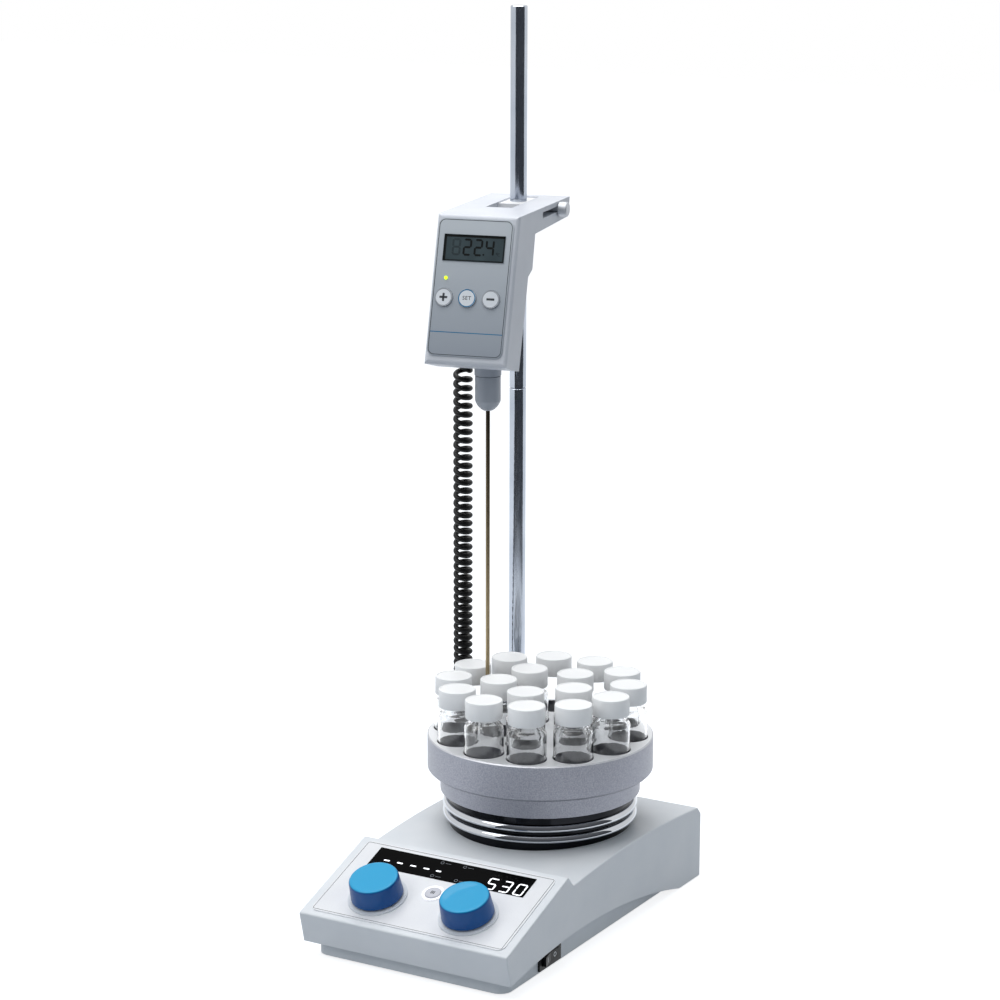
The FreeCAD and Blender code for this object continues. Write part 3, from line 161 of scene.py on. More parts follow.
@dataclass(frozen=True)
class Finish:
    """A surface finish: two near colours, gloss limits and the relief of its grain."""

    name: str
    slot: str
    light: Colour
    dark: Colour
    gloss: Pair
    grain: Grain = Grain.MOULDED
    size: float = 0.0006
    relief: float = 0.06
    patch: float = 0.03
    metallic: float = 0.0
    coat: float = 0.0
    clear: float = 0.0
    ior: float = 1.46
    mirror: float = 0.5
    glow: float = 0.0
    painted_span: Pair = (0.37, 0.16)
    top: Optional[Colour] = None
    lit_top_axis: Triple = (0.0, 0.0, 1.0)

    def material(self) -> bpy.types.Material:
        """Return the finish as a node material, made on its first use."""
        made = bpy.data.materials.get(self.name)
        if made is None:
            made = bpy.data.materials.new(self.name)
            made.use_nodes = True
            self.fill(made.node_tree)
        return made

    def fill(self, tree: Tree) -> None:
        """Set the shader's constants, and link its colour, roughness and normal.

        Args:
            tree: The material's node tree.
        """
        shader = tree.nodes["Principled BSDF"]
        constants = {"Metallic": self.metallic, "Coat Weight": self.coat, "IOR": self.ior,
                     "Specular IOR Level": self.mirror, "Transmission Weight": self.clear,
                     "Emission Strength": self.glow, "Emission Color": (*self.light, 1)}
        for socket, value in constants.items():
            shader.inputs[socket].default_value = value
        spot = tree.nodes.new("ShaderNodeTexCoord")
        stretch = add_node(tree, "Mapping", {"Vector": spot.outputs["Object"], "Scale": self.grain.value})
        fine = add_node(tree, "TexNoise", {"Vector": stretch.outputs["Vector"], "Scale": 1 / self.size,
                                           "Detail": GRAIN_DETAIL})
        rough = add_node(tree, "MapRange", {"Value": fine.outputs[0], "From Min": NOISE_SPAN[0],
                                            "From Max": NOISE_SPAN[1], "To Min": self.gloss[0],
                                            "To Max": self.gloss[1]})
        tree.links.new(self.colour(tree, spot), shader.inputs["Base Color"])
        tree.links.new(rough.outputs["Result"], shader.inputs["Roughness"])
        tree.links.new(self.bump(tree, spot, fine), shader.inputs["Normal"])

    def colour(self, tree: Tree, spot: Node) -> Socket:
        """Mix the two colours in soft patches, or along the height for the probe's painted reflection and the
        face sheet's painted shade.

        Args:
            tree: The material's node tree.
            spot: Its texture coordinates.

        Returns:
            The colour, with a painted lighter top (painted light and reflection) mixed in if the finish has
            one.
        """
        ramp = tree.nodes.new("ShaderNodeValToRGB")
        low, high = ramp.color_ramp.elements
        low.color, high.color = (*self.dark, 1), (*self.light, 1)
        # Along the height the two colours are painted light: reflection on the probe, shade on the face sheet.
        if self.grain in (Grain.PAINTED_REFLECTION, Grain.PAINTED_SHADE_LOW):
            split = add_node(tree, "SeparateXYZ", {"Vector": spot.outputs["Object"]})
            rise = add_node(tree, "MapRange", {"Value": split.outputs["Z"], "From Min": self.painted_span[0],
                                               "From Max": self.painted_span[1]})
            share = rise.outputs["Result"]
        else:
            low.position, high.position = PATCH_LIMITS
            patches = add_node(tree, "TexNoise", {"Vector": spot.outputs["Object"], "Scale": 1 / self.patch})
            share = patches.outputs[0]
        tree.links.new(share, ramp.inputs["Fac"])
        if self.top is None:
            return ramp.outputs["Color"]
        # Painted light: where the surface faces the top axis, the colour turns to the lighter top colour, as if
        # lit from above.
        facing = add_node(tree, "VectorMath", {0: spot.outputs["Normal"], 1: self.lit_top_axis},
                          operation="DOT_PRODUCT")
        lit_top_share = add_node(tree, "MapRange", {"Value": facing.outputs["Value"], "From Min": LIT_TOP_SPAN[0],
                                             "From Max": LIT_TOP_SPAN[1]})
        mix = add_node(tree, "Mix", {"Factor": lit_top_share.outputs["Result"], "A": ramp.outputs["Color"],
                                     "B": (*self.top, 1)}, data_type="RGBA")
        return mix.outputs["Result"]

    def bump(self, tree: Tree, spot: Node, fine: Node) -> Socket:
        """Raise the grain as a bump, or fine ribs round a cap.

        Args:
            tree: The material's node tree.
            spot: Its texture coordinates.
            fine: The grain's noise.

        Returns:
            The bumped normal.
        """
        height = fine.outputs[0]
        if self.grain is Grain.RIBBED:
            ribs = add_node(tree, "TexWave", {"Vector": spot.outputs["UV"],
                                              "Scale": CAP_RIBS * FULL_TURN / WAVE_PACE})
            height = ribs.outputs[0]
        raised = add_node(tree, "Bump", {"Strength": self.relief, "Distance": self.size, "Height": height})
        return raised.outputs["Normal"]


CASING = Finish("satin casing", "casing", tone(227, 230, 234), tone(221, 225, 230), (0.36, 0.46))
PLINTH = Finish("grey plinth", "plinth_grey", tone(223, 228, 233), tone(216, 221, 227), (0.42, 0.55))
RUBBER = Finish("foot rubber", "rubber", tone(44, 45, 47), tone(34, 35, 37), (0.7, 0.85), relief=0.2)
INLAY = Finish("panel film", "inlay", tone(235, 236, 239), tone(230, 231, 235), (0.26, 0.36), relief=0.03)
BUTTON = Finish("button film", "inlay", tone(206, 206, 214), tone(199, 199, 208), (0.3, 0.4), relief=0.03)
LIGHT_RING = Finish("lit ring", "inlay", tone(252, 252, 255), tone(246, 247, 252), (0.2, 0.3), glow=0.35)
BLACK_GLASS = Finish("display glass", "black_glass", tone(5, 5, 6), tone(3, 3, 4), (0.06, 0.12),
                     relief=0.01, mirror=0.03)
# The knobs' lighter top colour is painted light and sheen from above; their own blue is the darker side colour.
BLUE = Finish("blue satin metal", "blue_metal", tone(0, 79, 146), tone(0, 73, 140), (0.32, 0.44),
              size=0.0003, coat=0.25, mirror=0.2, top=tone(30, 162, 212), lit_top_axis=(0.0, -0.332, 0.943))
BOARD = Finish("circuit board", "board", tone(38, 104, 66), tone(22, 74, 48), (0.3, 0.5), patch=0.004)
BLACK = Finish("black plastic", "black_plastic", tone(15, 16, 18), tone(9, 10, 12), (0.32, 0.46), mirror=0.3)
CORD = Finish("cord jacket", "black_plastic", tone(9, 9, 10), tone(5, 5, 6), (0.36, 0.48),
              relief=0.04, mirror=0.3)
STEEL = Finish("ground steel", "steel", tone(206, 209, 214), tone(190, 194, 200), (0.16, 0.28),
               size=0.0004, relief=0.05, metallic=1.0)
ROD = Finish("drawn rod steel", "steel", tone(186, 192, 202), tone(170, 177, 188), (0.1, 0.2),
             grain=Grain.DRAWN, size=0.0005, relief=0.03, metallic=1.0)
BRASS = Finish("brass", "brass", tone(206, 172, 98), tone(186, 150, 80), (0.2, 0.34), metallic=1.0)
CHROME = Finish("mirror chrome", "chrome", tone(198, 201, 206), tone(188, 192, 198), (0.03, 0.06),
                relief=0.003, metallic=1.0)
# The near-white top colour is a painted highlight: the block's top face shows the bright backdrop it reflects.
BLASTED = Finish("blasted aluminium", "aluminium", tone(164, 166, 175), tone(139, 141, 151), (0.34, 0.48),
                 grain=Grain.BLASTED, size=0.0005, relief=0.3, patch=0.0008, metallic=0.75,
                 top=tone(238, 240, 243))
# Painted shade and reflection: the plate's seat and bands get a near-black mirror base, so they show as dark as
# the shadowed gap and dark reflections round the plate.
PAINTED_DARK_PLATE = Finish("painted dark plate", "dark_plate", tone(34, 35, 38), tone(26, 27, 30), (0.06, 0.12),
                    relief=0.008, metallic=1.0)
GLASS = Finish("vial glass", "clear_glass", tone(255, 255, 255), tone(252, 253, 254), (0.0, 0.02),
               size=0.006, relief=0.02, clear=1.0, ior=1.47)
SCREW = Finish("satin screw steel", "steel", tone(204, 207, 212), tone(190, 193, 199), (0.34, 0.46),
               size=0.0004, relief=0.05, metallic=0.4)
CAP = Finish("cap plastic", "cap_white", tone(253, 253, 253), tone(249, 249, 250), (0.36, 0.48),
             grain=Grain.RIBBED, size=0.00025, relief=0.35)
CLAMP_WHITE = Finish("clamp plastic", "cap_white", tone(240, 240, 241), tone(232, 232, 234), (0.34, 0.46))
CASE = Finish("controller case", "case_grey", tone(207, 210, 217), tone(200, 203, 211), (0.38, 0.5))
# The face film is darker towards the bottom: painted shade across the flat face.
SHEET = Finish("controller face film", "face_grey", tone(190, 196, 202), tone(148, 155, 165), (0.3, 0.4),
               grain=Grain.PAINTED_SHADE_LOW, painted_span=(0.392, 0.486))
NUT = Finish("probe nut plastic", "case_grey", tone(172, 177, 185), tone(163, 168, 177), (0.34, 0.46))
LCD = Finish("liquid crystal glass", "lcd_glass", tone(70, 82, 86), tone(57, 67, 71), (0.1, 0.18),
             relief=0.01, patch=0.02, mirror=0.25)
LAMP = Finish("green lamp", "lamp", tone(206, 240, 40), tone(180, 224, 24), (0.2, 0.3), glow=1.2)
# The probe runs from dark near the top to brassy low down: a painted reflection of its surroundings.
PROBE = Finish("probe steel", "steel", tone(166, 150, 120), tone(40, 34, 31), (0.24, 0.34),
               grain=Grain.PAINTED_REFLECTION, size=0.0004, relief=0.03, metallic=1.0)
KEY = Finish("key cap", "inlay", tone(224, 228, 233), tone(217, 221, 227), (0.3, 0.42))
PRINT_GREY = Finish("grey print", "face_grey", tone(158, 162, 168), tone(150, 154, 161), (0.4, 0.5))
PRINT_DARK = Finish("dark print", "black_plastic", tone(62, 66, 72), tone(54, 58, 64), (0.4, 0.5))
PRINT_BLUE = Finish("blue print", "blue_metal", tone(30, 116, 160), tone(24, 106, 150), (0.4, 0.5))
DIGIT_DARK = Finish("dark crystal", "black_plastic", tone(14, 18, 18), tone(9, 13, 13), (0.3, 0.4),
                    mirror=0.2)
DIGIT_GHOST = Finish("pale crystal", "lcd_glass", tone(55, 65, 68), tone(50, 60, 63), (0.2, 0.3), mirror=0.25)
LIT = Finish("lit segment", "inlay", tone(250, 252, 255), tone(244, 247, 252), (0.3, 0.4), glow=0.9)
LIT_DIM = Finish("dim segment", "face_grey", tone(120, 124, 130), tone(104, 108, 114), (0.3, 0.4), mirror=0.2)
MARK_WHITE = Finish("white mark", "inlay", tone(232, 233, 235), tone(224, 225, 228), (0.4, 0.5))

NODE_FINISHES = {
    CASING: ("base_shell",),
    PLINTH: ("base_plinth",),
    RUBBER: ("rubber_feet",),
    INLAY: ("panel_inlay",),
    BUTTON: ("panel_button",),
    LIGHT_RING: ("button_ring",),
    BLACK_GLASS: ("display_window",),
    BLUE: ("left_knob", "right_knob"),
    BOARD: ("display_board", "main_board", "controller_board"),
    BLACK: ("power_switch_frame", "power_rocker", "mains_inlet", "probe_socket", "cord_plug", "cord_gland",
            "left_encoder", "right_encoder"),
    CORD: ("curly_cord", "cord_tail"),
    STEEL: ("case_screws", "cover_screws", "heating_element", "motor_body", "motor_shaft", "drive_magnets",
            "rod_socket"),
    SCREW: ("clamp_screw",),
    ROD: ("rod_lower", "rod_upper"),
    BRASS: ("inlet_pins", "motor_bearing"),
    CHROME: ("lower_trim_ring", "upper_trim_ring"),
    BLASTED: ("vial_block", "motor_bracket", "magnet_carrier"),
    # The plate parts are painted dark as shade and reflection.
    PAINTED_DARK_PLATE: ("plate_seat", "plate_insulation", "hot_plate"),
    GLASS: ("vials",),
    CAP: ("vial_caps",),
    CLAMP_WHITE: ("clamp_block",),
    CASE: ("controller_case", "controller_rear_cover"),
    NUT: ("probe_collar", "probe_nut"),
    SHEET: ("controller_face_sheet",),
    LCD: ("lcd_window",),
    LAMP: ("status_lamp",),
    PROBE: ("probe_rod",),
    KEY: ("plus_button", "set_button", "minus_button", "left_knob_bezel", "right_knob_bezel"),
}


def clear_selection() -> None:
    """Deselect everything, so that an operator acts on the next piece alone."""
    bpy.ops.object.select_all(action="DESELECT")


@contextmanager
def editing(piece: Piece, picked_faces: bool = False) -> Iterator[None]:
    """Hold a piece in edit mode, with all of it selected or only the faces picked before.

    Args:
        piece: The mesh object to edit.
        picked_faces: Whether to keep the faces that are already selected.

    Returns:
        A context that leaves edit mode at its end.
    """
    bpy.context.view_layer.objects.active = piece
    bpy.ops.object.mode_set(mode="EDIT")
    if picked_faces:
        bpy.context.tool_settings.mesh_select_mode = (False, False, True)
    else:
        bpy.ops.mesh.select_all(action="SELECT")
    yield
    if picked_faces:
        bpy.context.tool_settings.mesh_select_mode = (True, False, False)
    bpy.ops.object.mode_set(mode="OBJECT")


def close_up(raise_by: Optional[float] = None) -> None:
    """Thicken what is selected if asked, then weld it and point its faces outwards.

    Args:
        raise_by: How far to extrude along Z, in metres.
    """
    bpy.ops.mesh.select_all(action="SELECT")
    if raise_by:
        bpy.ops.mesh.extrude_region_move(TRANSFORM_OT_translate={"value": (0, 0, raise_by)})
    bpy.ops.mesh.select_all(action="SELECT")
    bpy.ops.mesh.remove_doubles(threshold=WELD)
    bpy.ops.mesh.normals_make_consistent(inside=False)


def flat_bar(width: float, height: float, thick: float, corner: float, steps: int = 1,
             line: float = 0.0) -> Piece:
    """Make a thin bar or frame line with cut or rounded corners, lying on XY.

    Args:
        width: Size along X in millimetres.
        height: Size along Y in millimetres.
        thick: Size along Z in millimetres.
        corner: Corner cut in millimetres.
        steps: Segments of each corner, 1 for a straight cut.
        line: Width of the line along the edge in millimetres, if only that is kept.

    Returns:
        The bar.
    """
    clear_selection()
    bpy.ops.mesh.primitive_plane_add(size=1)
    piece = bpy.context.object
    piece.scale = (width * MM, height * MM, 1)
    bpy.ops.object.transform_apply(location=False, rotation=False, scale=True)
    with editing(piece):
        bpy.ops.mesh.bevel(offset=corner * MM, segments=steps, affect="VERTICES")
        if line:
            bpy.ops.mesh.select_all(action="SELECT")
            bpy.ops.mesh.inset(thickness=line * MM, depth=0)
            bpy.ops.mesh.delete(type="FACE")
        close_up(thick * MM)
    return piece


def flat_ring(outer: float, inner: float, thick: float, sides: int = 48) -> Piece:
    """Make a thin ring, lying on XY.

    Args:
        outer: Outer radius in millimetres.
        inner: Inner radius in millimetres.
        thick: Size along Z in millimetres.
        sides: Number of sides.

    Returns:
        The ring.
    """
    clear_selection()
    bpy.ops.mesh.primitive_circle_add(vertices=sides, radius=outer * MM, fill_type="NGON")
    piece = bpy.context.object
    with editing(piece):
        bpy.ops.mesh.inset(thickness=(outer - inner) * MM, depth=0)
        bpy.ops.mesh.delete(type="FACE")
        close_up(thick * MM)
    return piece


def turned(profile: Profile, steps: int) -> Piece:
    """Turn a profile of radius and height in millimetres about Z.

    Args:
        profile: Points from the first end of the profile to its last.
        steps: Segments round the axis.

    Returns:
        The turned piece.
    """
    clear_selection()
    bpy.ops.mesh.primitive_plane_add(size=MM)
    piece = bpy.context.object
    with editing(piece):
        bpy.ops.mesh.merge(type="CENTER")
        bpy.ops.transform.translate(value=(profile[0][0] * MM, 0, profile[0][1] * MM))
        for before, after in zip(profile, profile[1:]):
            move = ((after[0] - before[0]) * MM, 0, (after[1] - before[1]) * MM)
            bpy.ops.mesh.extrude_vertices_move(TRANSFORM_OT_translate={"value": move})
        bpy.ops.mesh.select_all(action="SELECT")
        bpy.ops.mesh.spin(steps=steps, angle=FULL_TURN, center=(0, 0, 0), axis=(0, 0, 1))
        close_up()
    smooth(piece)
    return piece


def smooth(piece: Piece) -> None:
    """Shade a piece smooth, with its sharp edges kept.

    Args:
        piece: The mesh object.
    """
    clear_selection()
    piece.select_set(True)
    bpy.context.view_layer.objects.active = piece
    bpy.ops.object.shade_smooth_by_angle(angle=SMOOTH_ANGLE)


def lettering(words: str, size: float, thick: float, weight: float = 0.0) -> Piece:
    """Make a short mark in plain letters as a mesh, lying on XY.

    Args:
        words: The letters.
        size: Letter size in millimetres.
        thick: Size along Z in millimetres.
        weight: How far the strokes are swelled, in millimetres.

    Returns:
        The mark.
    """
    clear_selection()
    bpy.ops.object.text_add()
    text = bpy.context.object.data
    text.body = words
    text.size = size * MM
    text.extrude = thick * MM / 2
    text.offset = weight * MM
    text.space_character = LETTER_SPACING
    text.align_x = "CENTER"
    text.align_y = "CENTER"
    bpy.ops.object.convert(target="MESH")
    return bpy.context.object


def moved(piece: Piece, across: float, up: float) -> Piece:
    """Move the mesh of a flat piece in its plane.

    Args:
        piece: The piece.
        across: Distance along X in millimetres.
        up: Distance along Y in millimetres.

    Returns:
        The same piece.
    """
    piece.data.transform(at(WORLD, across, up, 0))
    return piece


def copied(piece: Piece, place: Matrix) -> Piece:
    """Copy a piece with a mesh of its own, put in its place.

    Args:
        piece: The piece to copy.
        place: Where the copy goes.

    Returns:
        The copy.
    """
    twin = piece.copy()
    twin.data = piece.data.copy()
    twin.data.transform(place)
    bpy.context.scene.collection.objects.link(twin)
    return twin


def joined(pieces: Sequence[Piece]) -> Piece:
    """Join several pieces into one.

    Args:
        pieces: The pieces, all at the origin.

    Returns:
        The joined piece.
    """
    clear_selection()
    for piece in pieces:
        piece.select_set(True)
    bpy.context.view_layer.objects.active = pieces[0]
    bpy.ops.object.join()
    return bpy.context.object


def keep(piece: Piece, name: str, finish: Finish, body: str, place: Optional[Matrix] = None,
         stands_for: Sequence[str] = ()) -> Piece:
    """Put a piece in its place, dress it and let it ride on its body.

    Args:
        piece: The piece at the origin.
        name: Its name.
        finish: Its finish.
        body: The body that carries it.
        place: Its place in the shared frame.
        stands_for: CAD nodes that it replaces.

    Returns:
        The piece.
    """
    if place is not None:
        piece.data.transform(place)
    piece.name = name
    piece.data.name = name
    piece.data.materials.clear()
    piece.data.materials.append(finish.material())
    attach(piece, body)
    if stands_for:
        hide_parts(*stands_for)
    LOG.info("%s rides on %s", name, body)
    return piece


@dataclass
class Segments:
    """A figure of seven bars, as a small display shows it."""

    width: float
    height: float
    stroke: float
    thick: float = 0.06
    gap: float = 0.25
    corner_share: float = 0.48

    LIT_BARS = {"0": "abcdef", "2": "abged", "3": "abgcd", "4": "fgbc", "5": "afgcd", "8": "abcdefg"}

    def bar_places(self) -> dict[str, tuple[float, float, bool]]:
        """Return the middle of each bar, and whether it stands upright."""
        across, up = self.width / 2, self.height / 2
        return {"a": (0, up, False), "g": (0, 0, False), "d": (0, -up, False),
                "f": (-across, up / 2, True), "b": (across, up / 2, True),
                "e": (-across, -up / 2, True), "c": (across, -up / 2, True)}

    def build(self, figure: str) -> Piece:
        """Build one figure about the origin.

        Args:
            figure: The figure to show.

        Returns:
            The joined bars.
        """
        bars = []
        for name in self.LIT_BARS[figure]:
            across, up, upright = self.bar_places()[name]
            length = (self.height / 2 if upright else self.width) - self.gap
            bar = flat_bar(length, self.stroke, self.thick, self.stroke * self.corner_share)
            turn = Matrix.Rotation(math.pi / 2, 4, "Z") if upright else Matrix.Identity(4)
            bar.data.transform(Matrix.Translation(Vector((across, up, 0)) * MM) @ turn)
            bars.append(bar)
        return joined(bars)


@dataclass
class ControlPanel:
    """The sloping panel: frame line, display figures, button sign and the two knobs."""

    middle_up: float = 44.0
    film_top: float = 0.6
    glass_top: float = 0.9
    button_top: float = 2.0
    grid_step: float = 1.05
    figures: str = "530"
    figure_shape: Segments = field(default_factory=lambda: Segments(width=6.2, height=10.8, stroke=1.05))
    first_figure: float = 34.2
    figure_step: float = 10.9
    figure_up: float = 64.8
    dash_up: float = 66.4
    dash_x: Sequence[float] = (-50.0, -39.5, -28.8, -18.2)
    oval_x: float = -8.6
    sign_spots: Profile = ((-10.5, 75.4), (7.2, 75.6), (-10.5, 60.9), (8.2, 60.9))
    rule_shift: float = 4.6
    knob_x: float = 35.5
    knob_up: float = 30.0
    knob_steps: int = 96
    knob_profile: Profile = ((0, 3.6), (15.2, 3.6), (16.1, 2.9), (17.5, 2.8), (18.0, 3.3), (18.0, 4.3),
                             (17.9, 5.2), (17.15, 15.2), (17.0, 16.2), (16.6, 16.85), (16.0, 17.2),
                             (15.3, 17.3), (14.4, 17.2), (6, 17.1), (0, 17.1))

    def build(self) -> None:
        """Build every piece of the panel."""
        self.frame_line()
        self.display()
        self.button_sign()
        self.knobs()

    def frame_line(self) -> None:
        """Print the thin line along the edge of the film."""
        line = flat_bar(147.4, 75.4, thick=PRINT_THICK, corner=1.6, steps=ROUND_STEPS,
                        line=0.35)
        keep(line, "panel_frame_line", PRINT_DARK, "base", at(PANEL, 0, self.middle_up, self.film_top))

    def display(self) -> None:
        """Show the dashes on the left, the figures on the right and the small signs between."""
        glass = at(PANEL, 0, 0, self.glass_top)
        dashes = [moved(flat_bar(4.6, 1.2, thick=MARK_THICK, corner=0.4), across, self.dash_up)
                  for across in self.dash_x]
        oval = flat_bar(4.0, 1.3, thick=MARK_THICK, corner=0.6, steps=6)
        keep(joined([*dashes, moved(oval, self.oval_x, self.dash_up)]), "display_dashes", LIT, "base", glass)
        for index, figure in enumerate(self.figures):
            spot = at(PANEL, self.first_figure + index * self.figure_step, self.figure_up, self.glass_top)
            keep(self.figure_shape.build(figure), "display_figure_%d" % (index + 1), LIT, "base", spot)
        signs = []
        for across, up in self.sign_spots:
            sign = flat_ring(outer=1.5, inner=1.15, thick=PRINT_THICK, sides=6)
            rule = flat_bar(4.4, 0.35, thick=PRINT_THICK, corner=0.1)
            signs += [moved(sign, across, up), moved(rule, across + self.rule_shift, up)]
        keep(joined(signs), "display_signs", LIT_DIM, "base", glass)

    def button_sign(self) -> None:
        """Print the small grid sign on the push button."""
        bars = [moved(flat_bar(0.7, 2.9, thick=PRINT_THICK, corner=0.15), step * self.grid_step, 0)
                for step in (-1, 0, 1)]
        keep(joined(bars), "button_sign", PRINT_DARK, "panel_button",
             at(PANEL, 0, self.middle_up, self.button_top))

    def knobs(self) -> None:
        """Turn one knob and set a copy on each side."""
        pattern = turned(self.knob_profile, self.knob_steps)
        for side, name in ((-1, "left_knob"), (1, "right_knob")):
            spot = at(PANEL, side * self.knob_x, self.knob_up, 0)
            keep(copied(pattern, spot), name + "_grip", BLUE, name, stands_for=(name,))
        bpy.data.objects.remove(pattern)


@dataclass
class PlateRings:
    """The two bright rings round the heating plate."""

    plate_y: float = 46.9
    steps: int = 160
    bores: Sequence[tuple[str, float]] = (("lower_trim_ring", 57.0), ("upper_trim_ring", 66.0))
    nose: Profile = ((1.3, 0), (0.35, 0.06), (0.06, 0.16), (0, 0.26), (0.1, 0.4), (0.34, 0.55), (0.7, 0.7),
                     (1.15, 0.85), (1.5, 0.94), (1.9, 1))

    def build(self) -> None:
        """Turn each ring with a round nose at the size of its solid."""
        for node, bore in self.bores:
            low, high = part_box(node)
            bottom, top = low.z / MM, high.z / MM
            outer = (high.x - low.x) / 2 / MM
            edge = [(outer - inset, bottom + (top - bottom) * share) for inset, share in self.nose]
            ring = turned([(bore, bottom), *edge, (bore, top), (bore, bottom)], self.steps)
            keep(ring, node + "_polish", CHROME, "base", at(WORLD, 0, self.plate_y, 0), (node,))


@dataclass
class VialSet:
    """Seventeen glass vials with ribbed caps in the wells of the block."""

    axis: Pair = (0.2, 46.6)
    outer_count: int = 12
    outer_ring: float = 62.2
    outer_angle: float = 170.7
    inner_count: int = 5
    inner_ring: float = 29.5
    inner_angle: float = 207.0
    glass_steps: int = 56
    cap_steps: int = 72
    glass_profile: Profile = ((0, 101.4), (8, 101.0), (11.6, 100.4), (13.0, 100.7), (13.75, 101.9),
                              (13.75, 140.4), (13.45, 141.8), (12.4, 143.2), (11.2, 144.0), (10.6, 145.2),
                              (10.6, 158.0), (9.2, 158.0), (9.2, 145.4), (9.8, 143.8), (11.2, 142.4),
                              (12.3, 141.0), (12.55, 139.8), (12.55, 103.2), (11.8, 102.2), (8, 102.4),
                              (0, 102.7))
    cap_profile: Profile = ((0, 160.35), (11.3, 160.35), (11.6, 160.7), (12.3, 160.7), (12.8, 160.45),
                            (13.0, 159.9), (13.0, 148.3), (12.8, 147.9), (12.4, 147.8), (10.75, 147.8),
                            (10.75, 158.05), (0, 158.05))

    def spots(self) -> list[Matrix]:
        """Return the place of each vial."""
        places = []
        rings = ((self.outer_count, self.outer_ring, self.outer_angle),
                 (self.inner_count, self.inner_ring, self.inner_angle))
        for count, radius, start in rings:
            for index in range(count):
                angle = math.radians(start - index * 360 / count)
                places.append(at(WORLD, self.axis[0] + radius * math.cos(angle),
                                 self.axis[1] + radius * math.sin(angle), 0))
        return places

    def build(self) -> None:
        """Turn one vial and one cap, and set a copy of each in every well."""
        vial = turned(self.glass_profile, self.glass_steps)
        cap = turned(self.cap_profile, self.cap_steps)
        self.rib_map(cap)
        for index, spot in enumerate(self.spots(), 1):
            glass = keep(copied(vial, spot), "vial_%02d" % index, GLASS, "vial_set", stands_for=("vials",))
            glass.visible_shadow = False
            keep(copied(cap, spot), "vial_cap_%02d" % index, CAP, "vial_set", stands_for=("vial_caps",))
        bpy.data.objects.remove(vial)
        bpy.data.objects.remove(cap)

    def rib_map(self, cap: Piece) -> None:
        """Lay a map round the cap's wall, so that its ribs follow it.

        Args:
            cap: The cap about the origin.
        """
        layer = cap.data.uv_layers.new(name="ribs")
        for face in cap.data.polygons:
            if abs(face.normal.z) > WALL_SLOPE:
                continue
            middle = math.atan2(face.center.y, face.center.x)
            for loop in face.loop_indices:
                point = cap.data.vertices[cap.data.loops[loop].vertex_index].co
                angle = math.atan2(point.y, point.x)
                angle += FULL_TURN * round((middle - angle) / FULL_TURN)
                layer.data[loop].uv = (angle / FULL_TURN, point.z)


@dataclass
class SupportRod:
    """The polished rod in two screwed lengths."""

    radius: float = 6.0
    chamfer: float = 0.6
    steps: int = 96

    def build(self) -> None:
        """Turn each length with its chamfered ends at the height of its solid."""
        edge = self.radius - self.chamfer
        for node in ("rod_lower", "rod_upper"):
            low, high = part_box(node)
            bottom, top = low.z / MM, high.z / MM
            profile = [(0, bottom), (edge, bottom), (self.radius, bottom + self.chamfer),
                       (self.radius, top - self.chamfer), (edge, top), (0, top)]
            keep(turned(profile, self.steps), node + "_polish", ROD, "base", at(WORLD, *ROD_SPOT, 0), (node,))


